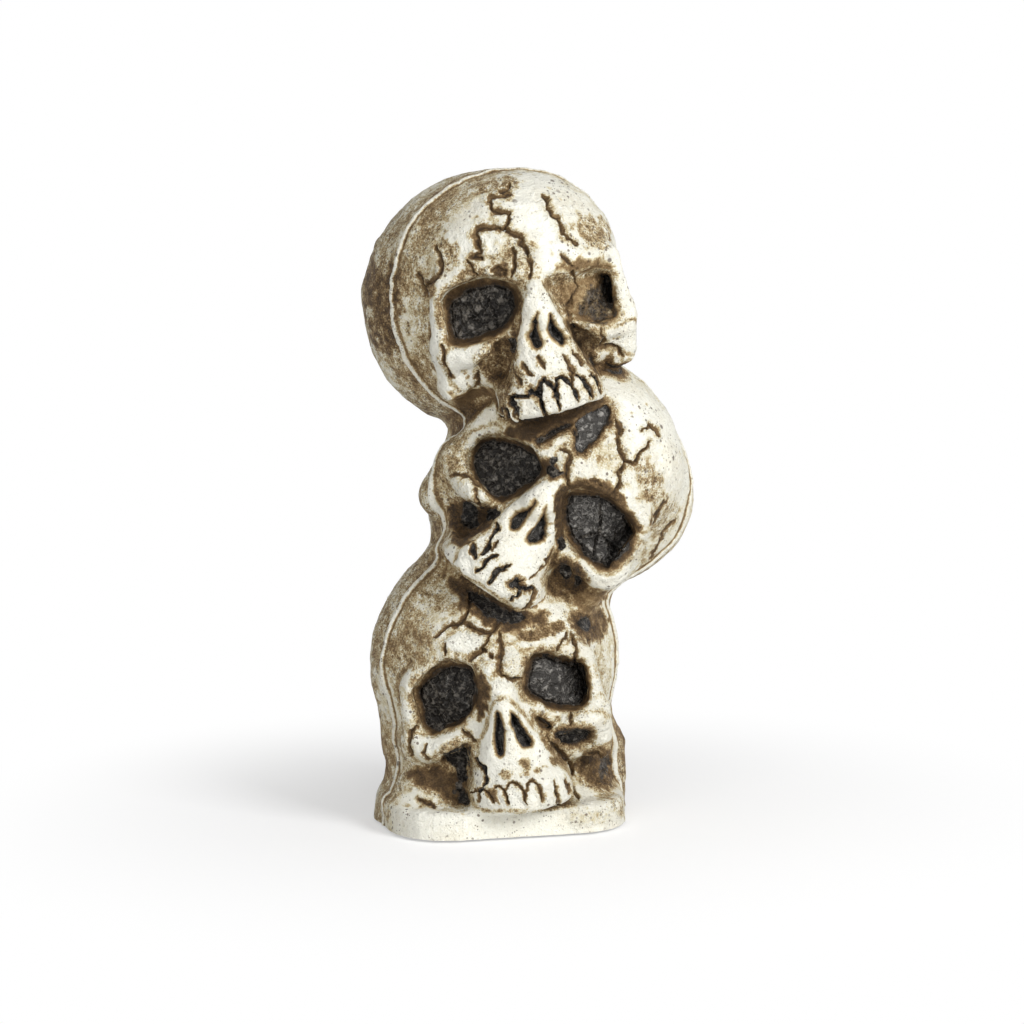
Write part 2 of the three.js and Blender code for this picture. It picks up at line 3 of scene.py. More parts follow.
import bpy
import numpy as np
import openvdb
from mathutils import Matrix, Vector


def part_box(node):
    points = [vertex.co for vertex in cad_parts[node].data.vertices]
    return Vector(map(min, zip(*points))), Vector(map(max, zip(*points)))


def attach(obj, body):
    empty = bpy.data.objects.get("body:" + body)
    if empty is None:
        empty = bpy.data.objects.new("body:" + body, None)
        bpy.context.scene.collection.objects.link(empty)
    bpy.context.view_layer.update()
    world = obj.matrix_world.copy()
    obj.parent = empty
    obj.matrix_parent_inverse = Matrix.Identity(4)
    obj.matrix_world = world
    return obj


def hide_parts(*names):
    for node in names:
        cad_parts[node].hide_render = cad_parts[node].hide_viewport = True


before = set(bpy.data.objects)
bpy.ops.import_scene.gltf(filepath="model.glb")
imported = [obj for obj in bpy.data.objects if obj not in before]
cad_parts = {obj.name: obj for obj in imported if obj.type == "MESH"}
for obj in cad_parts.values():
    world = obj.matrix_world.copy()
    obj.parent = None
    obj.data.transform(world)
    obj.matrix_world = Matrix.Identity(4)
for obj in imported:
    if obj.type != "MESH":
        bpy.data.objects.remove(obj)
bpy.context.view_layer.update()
MM = 0.001

# The moulding's own measures are in millimetres from the middle of the plinth, on the parting plane
plate_low, plate_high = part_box("base_plate")
MIDDLE = np.array([(plate_low.x + plate_high.x) / 2, (plate_low.y + plate_high.y) / 2, 0.0]) / MM
WALL = 3.0
PARTING = 0.15  # gap of each half to the parting plane
RIM_HEIGHT = 1.2
FRONT_CELL, REAR_CELL, LINING_CELL = 2.75, 2.6, 6.0
MERGE = 0.02  # corners closer than this become one
CREASE = math.radians(60)
FINE_END, FACE_END = -8, -4  # y of the rear ends of the finer mesh and of the drawn lines

# Camera of the photograph
AIM = np.array([6.6, 0.0, 180.3])
AZIMUTH, ELEVATION = math.radians(-15), math.radians(7)
DISTANCE = 1700.0
FRAME_SIZE = 1024
FOCAL = 2956.5  # in pixels
SENSOR = 36
BACK = np.array([math.sin(AZIMUTH) * math.cos(ELEVATION),
                 -math.cos(AZIMUTH) * math.cos(ELEVATION), math.sin(ELEVATION)])
RIGHT = np.array([math.cos(AZIMUTH), math.sin(AZIMUTH), 0.0])
UP = np.cross(BACK, RIGHT)
EYE = AIM + BACK * DISTANCE
PIXEL = 0.56  # millimetres across one pixel on the faces


def to_pixels(points):
    ray = points - EYE
    depth = -(ray @ BACK)
    across = FRAME_SIZE / 2 + FOCAL * (ray @ RIGHT) / depth
    down = FRAME_SIZE / 2 - FOCAL * (ray @ UP) / depth
    return np.stack([across, down], 1)


# Forms of one skull from the root of its nose, as in the part
FOREHEAD = ((0, 7, -58), (63, 56, 55))
FACE_BLOCK = ((0, -24, -54), (57, 46, 46))
TEMPLE = ((72, -2, -30), (14, 22, 20))
BROW = ((6, 8, -5, 7), (46, 7, -22, 7))
ORBIT_RIM = ((52, 2, -24, 6), (53, -24, -26, 7))
CHEEKBONE = ((30, -36, -13, 7), (52, -32, -28, 9))
RAMUS = ((51, -32, -32, 9), (50, -54, -38, 9))
MAXILLA = ((0, -14, -6, 10), (0, -60, -20, 28))
JAW_FLOOR = -75
DENTAL_ARCH = dict(back=-20, width=31, depth=30, top=-57)
NOSE_BRIDGE = ((0, 6, -5, 8), (0, -20, 2, 7))
CHEEK_HOLLOW = ((40, -58, -8), (12, 18, 16))
CHEEK_BACK = ((30, -44, -38, 15), (38, -34, -38, 15))
RIM_BREADTH = 51.5  # no hollow of a face goes further out than this
SOFT, CRISP = 7, 4
STACK_BLEND, DOME_BLEND = 6, 18
BLEND_FROM, BLEND_OVER = -25, 20  # where the softness turns from face to dome, along y
PLINTH = dict(half_width=69, front=49, back=49, corner=34, height=17)
SKIRT = dict(front=34, corner=30, foot=14, top=40, slope=0.55)  # between plinth and lowest jaw
PEDESTAL = dict(x=8, y=17, half_width=72, half_depth=32, height=52)  # behind the lowest jaw
SOCKET_BULGE, BULGE_REACH = 0.4, 30  # share of the depth, and pixels from the edge of a socket
SKULLS = [
    dict(nasion=(-15, -54, 90), lean=10, turn=-12, scale=0.97,
         dome=((2, 18, 91), (73, 46, 78))),
    dict(nasion=(20.5, -53, 206), lean=-36, turn=-20, scale=1.02,
         dome=((42.5, 22, 186), (80, 48, 58))),
    dict(nasion=(4, -56, 315), lean=11, turn=-4, scale=0.96,
         dome=((-5, 30, 300), (68, 58, 72))),
]

# Drawn lines, in pixels of the photograph: x and y of one point after the other


def pairs(numbers):
    return np.array(numbers, float).reshape(-1, 2)


def rounded(numbers, times=2):
    """A closed outline with its corners cut again and again."""
    line = pairs(numbers)
    for _ in range(times):
        ahead = np.roll(line, -1, 0)
        near, far = 0.75 * line + 0.25 * ahead, 0.25 * line + 0.75 * ahead
        line = np.stack([near, far], 1).reshape(-1, 2)
    return line


def cavity(kind, depth, taper, soft, outline, **paint):
    """A hollow of a face: depth in millimetres, slope of its wall and softness of its edge."""
    return dict(kind=kind, depth=depth, taper=taper, soft=soft, line=rounded(outline), paint=paint)


# Hollows of each face, lowest skull first. In their paint, rim is the breadth of a socket's brown
# rim, the grey setting a painted grey sheen on the crust, soot and umber the strength of each, edge
# the reach of the soot
HOLLOWS = [[
    cavity("socket", 11, 0.2, 2.5, [409, 692, 415, 682, 430, 667, 447, 657, 465, 661, 477, 667,
        480, 687, 477, 710, 462, 725, 445, 730, 430, 735, 421, 727, 417, 710], rim=0.4),
    cavity("socket", 9, 0.2, 2.5, [520, 680, 525, 662, 532, 652, 545, 650, 565, 656, 585, 662,
        590, 680, 589, 702, 580, 710, 555, 709, 532, 701, 522, 692], rim=0.4, grey=0.6),
    cavity("nostril", 8, 0.25, 1.5, [495, 710, 502, 710, 506, 725, 507, 750, 503, 759, 496, 757,
        493, 747, 494, 728]),
    cavity("nostril", 8, 0.25, 1.5, [507, 710, 515, 712, 527, 732, 535, 742, 532, 750, 523, 751,
        515, 742, 510, 728]),
    cavity("hollow", 6, 0.5, 2, [436, 757, 452, 747, 467, 741, 472, 748, 471, 770, 468, 788,
        460, 782, 450, 768]),
    cavity("hollow", 5, 0.6, 3, [405, 773, 427, 767, 452, 770, 466, 786, 471, 805, 457, 803,
        440, 793, 420, 785]),
    cavity("pit", 6, 0.4, 2, [552, 735, 562, 730, 577, 727, 592, 730, 588, 740, 570, 746,
        557, 742]),
    cavity("hollow", 5, 0.5, 3, [580, 757, 602, 747, 614, 755, 611, 777, 612, 787, 595, 786,
        582, 780]),
    cavity("pit", 4, 0.6, 4, [462, 586, 478, 592, 497, 602, 515, 610, 532, 616, 514, 627, 492, 622,
        475, 609]),
    cavity("pit", 3, 0.5, 2, [575, 618, 588, 615, 594, 625, 588, 635, 579, 631]),
    cavity("hollow", 3, 0.5, 1.5, [531, 714, 541, 716, 553, 727, 548, 731, 537, 723]),
], [
    cavity("socket", 11, 0.25, 2, [465, 466, 473, 448, 482, 436, 497, 434, 520, 439, 533, 447,
        543, 462, 546, 472, 530, 487, 512, 498, 502, 501, 492, 496, 477, 481], rim=0.25),
    cavity("socket", 8, 0.3, 2.5, [563, 491, 580, 487, 600, 490, 617, 500, 628, 515, 637, 533,
        632, 550, 620, 565, 605, 571, 592, 563, 575, 551, 563, 538, 559, 513], rim=0.35, grey=0.7),
    cavity("nostril", 7, 0.15, 1.5, [508, 527, 509, 518, 514, 512, 521, 508, 528, 508, 532, 502,
        537, 498, 539, 503, 535, 510, 530, 518, 524, 526, 517, 533, 511, 532]),
    cavity("nostril", 7, 0.15, 1.5, [546, 501, 548, 512, 548, 527, 546, 539, 538, 545, 529, 547,
        524, 541, 526, 534, 533, 527, 539, 513]),
    cavity("hollow", 7, 0.5, 2.5, [449, 500, 470, 503, 480, 507, 500, 512, 490, 525, 475, 536,
        458, 545, 452, 522]),
    # Below the teeth of the skull above: a pit whose black is painted shadow in the recess, with a
    # painted grey sheen
    cavity("pit", 4, 0.4, 2, [572, 423, 590, 412, 608, 401, 612, 415, 605, 431, 590, 446, 580, 456,
        572, 448, 575, 434], grey=1),
    cavity("pit", 3, 0.5, 2, [533, 441, 545, 434, 553, 427, 566, 423, 573, 421, 573, 428, 560, 432,
        552, 438, 540, 445]),
    cavity("pit", 5, 0.4, 2, [557, 565, 564, 561, 572, 563, 575, 573, 570, 582, 560, 580]),
    cavity("pit", 4, 0.4, 2, [572, 574, 580, 573, 584, 581, 579, 588, 572, 585]),
    cavity("pit", 3.5, 0.3, 1.2, [505, 583, 509, 579, 515, 577, 520, 577, 524, 578, 523, 583,
        520, 587, 515, 592, 509, 591], edge=1.5, grey=0.6),
], [
    cavity("socket", 12, 0.35, 2.5, [437, 303, 445, 291, 462, 278, 480, 273, 500, 275, 512, 281,
        520, 288, 521, 303, 514, 320, 500, 332, 482, 340, 462, 346, 449, 344, 444, 332, 440, 315],
        rim=0.75),
    cavity("socket", 6, 0.6, 2.5, [545, 283, 560, 277, 572, 272, 590, 267, 605, 270, 614, 275,
        617, 300, 619, 315, 610, 322, 595, 327, 580, 322, 565, 315, 551, 296], soot=0.3, umber=0.5),
    cavity("nostril", 8, 0.25, 1.5, [538, 309, 540, 314, 540, 326, 541, 334, 545, 342, 543, 349,
        537, 352, 530, 348, 527, 341, 527, 333, 530, 323, 534, 314]),
    cavity("nostril", 8, 0.25, 1.5, [546, 312, 550, 311, 553, 319, 557, 325, 563, 331, 567, 339,
        565, 348, 559, 350, 553, 344, 548, 338, 545, 331, 545, 320]),
    cavity("hollow", 4, 0.6, 3, [493, 340, 508, 340, 518, 346, 515, 360, 511, 374, 505, 381,
        497, 379, 485, 371, 477, 361, 489, 350]),
    cavity("hollow", 5, 0.5, 2, [565, 320, 580, 326, 596, 330, 601, 346, 591, 350, 594, 362,
        600, 376, 592, 374, 576, 350]),
    cavity("glaze", 5, 0.7, 4, [448, 398, 467, 390, 487, 389, 498, 397, 498, 410, 484, 419,
        465, 417]),
    cavity("glaze", 2, 0.8, 5, [598, 368, 612, 370, 630, 365, 634, 375, 622, 385, 606, 386]),
    cavity("pit", 3.5, 0.3, 1.2, [527, 391, 531, 386, 537, 387, 541, 391, 542, 401, 538, 402,
        534, 396, 529, 396], edge=1.2),
]]

# Cracks, gaps between teeth and other strokes of each face, lowest skull first: half-width in
# pixels, depth in millimetres, line
STROKES = [[
    (1.8, 2.2, [477, 757, 481, 763, 486, 770, 488, 775, 487, 783, 483, 789, 480, 793]),
    (1.4, 1.5, [471, 793, 476, 790, 480, 792, 480, 802]),
    (1.4, 1.5, [485, 790, 490, 793, 494, 802]),
    (1.4, 1.5, [495, 788, 500, 787, 505, 790, 507, 797, 508, 804]),
    (1.4, 1.5, [507, 789, 510, 784, 514, 783, 519, 786, 523, 791, 525, 797, 526, 804]),
    (1.4, 1.5, [525, 790, 528, 783, 532, 780, 537, 785, 541, 791, 542, 800]),
    (1.4, 1.5, [552, 781, 554, 790, 556, 797, 557, 803]),
    (1.8, 1.4, [563, 780, 566, 786, 567, 792]),
    (2.6, 2.0, [552, 742, 560, 752, 570, 765, 573, 774]),
    (1.2, 1.0, [573, 787, 576, 795, 578, 800]),
    (2.0, 1.8, [471, 595, 467, 612, 462, 622, 447, 627, 435, 637]),
    (2.2, 1.8, [467, 624, 480, 632, 490, 634, 495, 627, 498, 621]),
    (2.0, 1.8, [490, 636, 487, 642, 480, 652, 470, 660]),
    (1.6, 1.4, [445, 643, 446, 654]),
    (1.8, 1.6, [572, 634, 575, 645, 576, 655, 574, 664]),
    (1.4, 1.2, [567, 634, 561, 642, 557, 650]),
    (1.6, 1.4, [571, 712, 570, 726]),
    (1.8, 1.5, [418, 726, 411, 732, 409, 744, 414, 755]),
    (1.8, 1.4, [463, 729, 470, 736, 475, 742]),
    (1.4, 1.0, [427, 745, 424, 752, 429, 757]),
    (1.6, 1.0, [417, 799, 426, 802, 435, 807]),
    (2.2, 1.2, [500, 632, 501, 648, 499, 662, 499, 671, 503, 677]),
    (1.8, 1.4, [504, 677, 512, 680, 522, 678]),
    (2.0, 1.6, [490, 654, 493, 657]),
    (1.6, 1.2, [482, 648, 485, 652]),
    (1.2, 0.8, [458, 668, 455, 684, 450, 700]),
    (1.2, 0.8, [448, 690, 440, 704, 436, 716]),
    (1.2, 0.8, [574, 666, 578, 680, 577, 696]),
], [
    (2.0, 2.4, [498, 557, 493, 558, 488, 561, 482, 567, 476, 572]),
    (1.8, 2.4, [509, 566, 503, 568, 497, 571, 493, 577, 489, 582]),
    (2.0, 2.4, [519, 588, 525, 589, 531, 587, 534, 589]),
    (1.5, 2.4, [521, 588, 516, 594, 510, 599]),
    (2.2, 1.9, [535, 590, 532, 597, 529, 602, 523, 608]),
    (1.7, 2.2, [499, 523, 498, 530, 493, 534, 490, 539, 489, 548, 486, 552, 482, 555]),
    (1.4, 1.2, [499, 540, 495, 548, 491, 553]),
    (2.4, 2.2, [474, 546, 474, 552, 476, 558]),
    (1.1, 0.7, [550, 548, 546, 557, 543, 563, 538, 568, 532, 574, 528, 578]),
    (2.6, 1.8, [617, 421, 619, 428, 621, 435]),
    (1.9, 1.8, [618, 438, 620, 450, 625, 460, 635, 464, 640, 452, 646, 447, 651, 441]),
    (2.0, 1.6, [626, 461, 622, 467, 619, 473, 620, 484, 614, 496]),
    (1.4, 1.2, [642, 430, 650, 426, 656, 430, 660, 437]),
    (2.2, 1.7, [560, 449, 568, 452, 571, 456, 567, 465, 567, 475, 569, 488]),
    (1.8, 1.2, [590, 480, 597, 481, 602, 488]),
    (1.8, 1.0, [452, 475, 460, 474, 470, 477, 479, 485]),
    (1.6, 1.0, [476, 488, 476, 498, 480, 505]),
    (1.4, 0.8, [676, 520, 664, 530, 657, 545, 650, 560]),
    (1.2, 0.7, [668, 498, 658, 512, 652, 526]),
    (1.6, 1.2, [602, 500, 600, 515, 599, 532, 594, 562]),
    (1.5, 1.1, [598, 532, 588, 537, 576, 541]),
    (1.2, 0.7, [602, 537, 612, 546, 622, 551]),
], [
    (1.7, 2.4, [543, 381, 541, 388, 541, 400, 543, 408, 547, 413]),
    (1.9, 2.4, [541, 383, 545, 380, 551, 385, 556, 390, 557, 398, 559, 407]),
    (1.7, 2.4, [556, 392, 557, 381, 561, 377, 566, 381, 571, 388, 574, 394, 576, 401]),
    (2.0, 1.6, [562, 354, 567, 362, 571, 373, 572, 381, 571, 388]),
    (2.0, 2.4, [575, 376, 580, 379, 584, 383, 587, 388, 590, 397]),
    (1.5, 2.4, [589, 376, 592, 378, 595, 384, 598, 392]),
    (1.8, 1.3, [570, 352, 574, 358, 578, 363, 580, 368]),
    (2.0, 1.3, [539, 357, 542, 363, 544, 368]),
    (2.0, 1.4, [525, 365, 528, 370, 531, 376]),
    (1.6, 1.0, [516, 373, 519, 378, 523, 384]),
    (1.7, 2.4, [510, 399, 517, 395, 524, 396, 530, 397]),
    (2.8, 2.6, [511, 398, 515, 403, 518, 408, 520, 414]),
    (2.2, 2.4, [505, 406, 509, 410, 511, 416, 512, 421]),
    (1.8, 2.4, [502, 409, 503, 416, 504, 424]),
    (2.2, 2.4, [540, 390, 541, 400, 544, 408]),
    (2.0, 1.7, [510, 184, 507, 190, 500, 191, 509, 194, 504, 197, 491, 197, 489, 201, 494, 211,
        504, 212, 510, 213, 508, 221, 504, 228]),
    (2.4, 1.8, [505, 229, 495, 228, 478, 228, 476, 233, 478, 245, 480, 253, 472, 257, 482, 258]),
    (2.0, 1.8, [504, 229, 512, 234, 522, 238, 521, 245, 527, 252, 529, 261, 531, 269, 530, 278]),
    (1.6, 1.3, [468, 260, 472, 269, 476, 275]),
    (2.0, 1.5, [514, 248, 515, 257, 515, 268, 511, 277]),
    (2.2, 1.7, [437, 248, 441, 258, 441, 270, 433, 281, 424, 287]),
    (1.8, 1.4, [419, 272, 422, 282, 424, 288, 428, 296]),
    (2.0, 1.6, [542, 195, 546, 199, 548, 208, 553, 216, 558, 218, 562, 226, 564, 235, 570, 239,
        577, 245]),
    (1.8, 1.2, [492, 270, 499, 267, 506, 270, 503, 276]),
    (1.8, 1.2, [572, 272, 575, 280, 578, 287, 572, 300, 566, 310, 571, 320]),
    (1.6, 1.2, [600, 329, 604, 340, 600, 347, 611, 345, 617, 346, 622, 357]),
    (1.6, 1.2, [477, 371, 478, 378, 477, 386]),
    (1.8, 1.3, [442, 345, 444, 360, 449, 370, 453, 377]),
    (1.4, 0.9, [562, 254, 568, 262, 575, 268]),
    (1.2, 0.8, [490, 296, 487, 306, 480, 314, 470, 320]),
    (1.2, 0.8, [489, 300, 492, 312, 498, 320]),
]]
STROKES = [[(wide, deep, pairs(line)) for wide, deep, line in strokes] for strokes in STROKES]

# Raised plates of each face, lowest skull first: height in millimetres, softness of the edge in
# pixels, outline
PLATES = [[
    (1.3, 2.5, [445, 640, 460, 632, 480, 635, 489, 638, 483, 648, 472, 655, 455, 650, 446, 652]),
    (1.2, 2.5, [518, 641, 530, 640, 552, 633, 567, 630, 568, 641, 555, 645, 535, 646, 522, 652]),
    (1.6, 3, [412, 733, 430, 740, 450, 733, 462, 729, 464, 738, 452, 745, 436, 752, 430, 763,
        418, 758, 411, 745]),
    (1.2, 8, [497, 702, 504, 698, 516, 710, 536, 737, 550, 747, 560, 767, 576, 790, 579, 806,
        540, 809, 474, 809, 473, 790, 472, 770, 476, 745, 486, 737, 492, 715]),
    (1.3, 3, [572, 722, 580, 716, 598, 712, 612, 722, 612, 740, 598, 744, 592, 736, 593, 728,
        577, 725]),
    (1.1, 2.5, [483, 652, 490, 645, 496, 650, 496, 667, 492, 677, 484, 675, 481, 664]),
    (1.2, 2.5, [505, 645, 515, 646, 521, 655, 521, 672, 514, 676, 507, 673, 504, 660]),
    (1.2, 3, [575, 748, 592, 744, 583, 752, 579, 765, 582, 785, 576, 782, 573, 768]),
], [
    (1.8, 3, [448, 480, 455, 476, 470, 479, 476, 488, 474, 500, 462, 500, 450, 497]),
    (1.3, 2.5, [478, 490, 488, 492, 500, 502, 502, 508, 490, 507, 480, 500]),
    (1.8, 3, [566, 474, 558, 475, 530, 490, 502, 512, 490, 525, 450, 560, 470, 577, 490, 588,
        515, 606, 530, 613, 539, 609, 546, 592, 553, 560, 556, 535, 553, 505, 560, 490]),
    (1.4, 3, [577, 556, 590, 568, 605, 576, 622, 570, 637, 552, 644, 542, 641, 562, 625, 582,
        605, 592, 590, 586, 586, 572]),
    (1.3, 3, [535, 449, 545, 441, 556, 437, 568, 433, 574, 440, 575, 450, 568, 449, 560, 446,
        552, 452, 555, 464, 545, 466, 538, 458]),
    (1.0, 4, [480, 434, 468, 450, 460, 466, 452, 470, 458, 450, 470, 434, 490, 427, 502, 428,
        498, 433]),
], [
    (1.6, 2.5, [447, 350, 462, 348, 480, 344, 494, 339, 491, 350, 480, 358, 474, 368, 476, 386,
        465, 390, 455, 384, 450, 372, 445, 360]),
    (1.3, 2, [515, 250, 522, 246, 526, 255, 526, 270, 521, 279, 513, 279, 517, 268]),
    (1.0, 2.5, [467, 259, 480, 260, 500, 259, 512, 257, 511, 266, 500, 265, 485, 269, 474, 272]),
    (1.4, 3, [602, 332, 625, 325, 637, 321, 641, 345, 634, 354, 623, 350, 612, 344, 605, 345]),
    (1.3, 2.5, [592, 351, 603, 349, 616, 350, 621, 359, 619, 367, 605, 366, 594, 362]),
    (2.0, 3, [530, 280, 540, 281, 556, 307, 567, 335, 592, 365, 609, 398, 590, 401, 575, 405,
        557, 411, 540, 417, 520, 421, 505, 427, 505, 410, 513, 385, 518, 345, 523, 305]),
]]
PLATES = [[(high, soft, rounded(line, 1)) for high, soft, line in plates] for plates in PLATES]

# Brown wash laid on each face, some of it painted shade, lowest skull first: strength, feather in
# pixels, grain, outline
WASHES = [[
    (0.8, 9, 0.5, [444, 572, 457, 580, 478, 594, 500, 603, 530, 614, 546, 619, 530, 629, 505, 631,
        480, 621, 462, 605, 448, 586]),
    (0.55, 5, 0.8, [520, 633, 540, 625, 560, 620, 572, 626, 556, 632, 535, 640, 520, 642]),
    (0.7, 7, 0.8, [566, 612, 598, 609, 604, 630, 597, 643, 578, 638]),
    (0.15, 8, 0.9, [474, 662, 492, 640, 515, 635, 521, 655, 512, 676, 490, 672]),
    (0.8, 5, 0.5, [477, 672, 488, 676, 488, 700, 480, 720, 475, 712]),
    (0.78, 4, 0.4, [405, 772, 427, 766, 452, 769, 466, 786, 471, 806, 457, 803, 440, 793,
        420, 786]),
    (0.72, 5, 0.6, [580, 757, 602, 747, 614, 755, 611, 777, 613, 788, 595, 786, 582, 780]),
    (0.8, 4, 0.6, [531, 713, 542, 716, 554, 727, 548, 731, 536, 723]),
    (0.6, 4, 0.8, [520, 760, 530, 761, 530, 770, 521, 770]),
    (0.55, 3, 0.8, [534, 769, 539, 770, 538, 775, 534, 774]),
    (0.55, 3, 0.8, [548, 757, 556, 759, 555, 766, 549, 766]),
    (0.5, 4, 0.8, [502, 768, 512, 769, 510, 778, 500, 778]),
    (0.75, 3, 0.5, [489, 792, 494, 791, 499, 797, 498, 803, 493, 804, 490, 799]),
    (0.26, 8, 0.9, [600, 792, 615, 793, 627, 806, 620, 816, 606, 809]),
    (0.12, 8, 0.9, [565, 812, 600, 811, 612, 820, 590, 826]),
    (0.35, 5, 0.8, [384, 790, 396, 786, 398, 800, 388, 806]),
    (0.2, 7, 0.9, [430, 800, 455, 805, 472, 806, 460, 812, 440, 810]),
    (0.18, 9, 0.9, [590, 645, 604, 650, 612, 690, 606, 724, 596, 706, 594, 670]),
    (0.35, 12, 0.7, [402, 625, 420, 615, 436, 640, 430, 665, 410, 672, 402, 655]),
    # Along the left edge of the face: tan wash, darkened further as painted shade on the side
    # turned from the key lamp
    (0.34, 6, 0.8, [408, 596, 413, 600, 409, 640, 406, 672, 401, 672, 402, 635]),
    (0.28, 9, 0.9, [418, 590, 432, 580, 448, 590, 462, 606, 452, 616, 432, 606]),
], [
    # Below the teeth of the skull above: a brown band of painted shade where that jaw overhangs
    (0.86, 5, 0.15, [503, 433, 525, 421, 560, 411, 592, 402, 607, 400, 590, 413, 571, 425, 550, 431,
        533, 442, 518, 438]),
    (0.75, 6, 0.6, [540, 455, 552, 462, 567, 470, 567, 477, 552, 479, 544, 475]),
    (0.8, 5, 0.7, [556, 490, 568, 486, 573, 498, 566, 515, 568, 537, 560, 549, 554, 535, 554, 505]),
    (0.85, 5, 0.6, [447, 498, 470, 502, 480, 506, 501, 511, 490, 526, 475, 538, 456, 548,
        449, 525]),
    (0.56, 7, 0.35, [541, 606, 555, 589, 590, 588, 614, 597, 607, 607, 590, 617, 560, 622,
        541, 615]),
    (0.8, 5, 0.7, [553, 562, 565, 556, 578, 566, 588, 580, 585, 592, 570, 592, 556, 584]),
    (0.3, 9, 1.0, [636, 468, 650, 464, 662, 480, 660, 500, 645, 508, 638, 490]),
    (0.12, 9, 0.9, [586, 452, 606, 434, 618, 445, 612, 470, 596, 476, 580, 464]),
    (0.72, 4, 0.4, [567, 484, 585, 479, 602, 481, 620, 493, 632, 512, 642, 534, 634, 530, 622, 508,
        600, 491, 572, 490]),
    (0.24, 8, 0.9, [650, 505, 672, 496, 680, 512, 664, 530, 650, 540]),
    (0.35, 6, 0.9, [446, 462, 456, 452, 462, 466, 456, 476, 447, 474]),
], [
    (0.66, 6, 0.15, [448, 398, 467, 390, 487, 389, 498, 397, 498, 411, 484, 420, 465, 418]),
    (0.52, 6, 1.0, [494, 337, 510, 341, 518, 348, 513, 372, 511, 397, 505, 407, 496, 387, 485, 373,
        477, 361, 490, 348]),
    (0.62, 4, 0.9, [514, 296, 523, 288, 524, 305, 520, 330, 516, 349, 508, 342, 513, 324]),
    (0.55, 5, 0.9, [566, 318, 580, 325, 598, 330, 603, 345, 592, 350, 594, 366, 585, 360,
        572, 338]),
    (0.85, 3, 0.3, [564, 318, 570, 325, 580, 345, 594, 368, 601, 377, 592, 375, 576, 352]),
    (0.6, 8, 0.5, [598, 366, 612, 368, 631, 363, 637, 374, 622, 388, 604, 386]),
    (0.3, 8, 1.0, [576, 218, 590, 216, 606, 226, 608, 240, 604, 256, 596, 252, 580, 236]),
    (0.34, 7, 1.0, [441, 245, 450, 242, 457, 246, 456, 262, 450, 268, 442, 262]),
    (0.5, 5, 0.8, [416, 270, 425, 275, 433, 286, 430, 299, 422, 294]),
    (0.26, 9, 0.9, [505, 240, 530, 236, 536, 262, 532, 284, 520, 288, 505, 282, 492, 276,
        490, 262]),
    (0.7, 3, 0.6, [492, 268, 500, 265, 507, 267, 508, 274, 503, 277, 495, 274]),
    (0.64, 14, 1.0, [364, 268, 380, 262, 398, 268, 400, 345, 384, 352, 366, 330]),
    (0.3, 10, 1.0, [372, 240, 390, 225, 398, 240, 388, 262, 374, 264]),
    # Left of the temple: tan wash, darkened further as painted shade on the side turned from the
    # key lamp
    (0.33, 12, 0.8, [408, 215, 430, 200, 442, 225, 432, 250, 410, 255]),
    (0.3, 10, 1.0, [468, 182, 490, 178, 520, 178, 515, 190, 485, 196]),
    (0.55, 5, 0.4, [556, 268, 575, 260, 592, 257, 606, 262, 616, 272, 590, 268, 570, 274]),
    (0.45, 5, 0.9, [452, 284, 466, 270, 486, 264, 496, 270, 480, 275, 462, 283]),
    (0.35, 4, 0.9, [510, 368, 522, 366, 528, 384, 516, 392]),
    (0.45, 6, 0.9, [484, 395, 500, 385, 510, 402, 508, 424, 498, 420]),
]]

# Soot laid on each face, lowest skull first: strength, feather in pixels, outline
SOOTS = [[
    (0.9, 4, [443, 752, 455, 747, 468, 743, 470, 770, 464, 785, 455, 768]),
    (0.75, 5, [453, 782, 466, 787, 472, 806, 460, 803]),
    (0.6, 5, [596, 760, 608, 757, 610, 776, 599, 780]),
], [
    (0.9, 3, [543, 467, 556, 469, 566, 471, 560, 476, 546, 476]),
    (0.8, 3, [551, 457, 557, 457, 558, 463, 552, 463]),
    (0.9, 3, [556, 538, 564, 536, 567, 546, 560, 551]),
    (0.95, 4, [461, 504, 477, 503, 479, 520, 470, 533, 463, 522]),
    (0.9, 3, [487, 510, 502, 511, 497, 519, 487, 522]),
], [
    (0.6, 8, [586, 288, 608, 282, 615, 300, 614, 318, 598, 325, 584, 316]),
    (0.9, 3, [509, 336, 518, 339, 517, 351, 511, 350]),
    (0.55, 9, [584, 300, 606, 290, 616, 312, 600, 324, 584, 318]),
]]

# Distances to the surface in millimetres, negative inside


def ellipsoid(points, at, radii):
    scaled = (points - np.array(at, np.float32)) / np.array(radii, np.float32)
    near = np.linalg.norm(scaled, axis=1)
    slope = np.linalg.norm(scaled / np.array(radii, np.float32), axis=1)
    return near * (near - 1) / np.maximum(slope, 1e-6)


def limb(points, start, end):
    a, b = np.array(start[:3], np.float32), np.array(end[:3], np.float32)
    along = np.clip((points - a) @ (b - a) / ((b - a) @ (b - a)), 0, 1)
    radius = start[3] + (end[3] - start[3]) * along
    return np.linalg.norm(points - a - along[:, None] * (b - a), axis=1) - radius


def join(a, b, softness):
    h = np.maximum(softness - np.abs(a - b), 0) / softness
    return np.minimum(a, b) - h * h * softness / 4


def common(a, b, softness):
    return -join(-a, -b, softness)


def carve(a, b, softness):
    return common(a, -b, softness)


def turn(axis, degrees):
    c, s = math.cos(math.radians(degrees)), math.sin(math.radians(degrees))
    if axis == "x":
        return np.array([[1, 0, 0], [0, c, -s], [0, s, c]])
    if axis == "y":
        return np.array([[c, 0, s], [0, 1, 0], [-s, 0, c]])
    return np.array([[c, -s, 0], [s, c, 0], [0, 0, 1]])


for skull in SKULLS:
    skull["axes"] = turn("z", skull["turn"]) @ turn("y", -skull["lean"]) @ turn("x", 90)


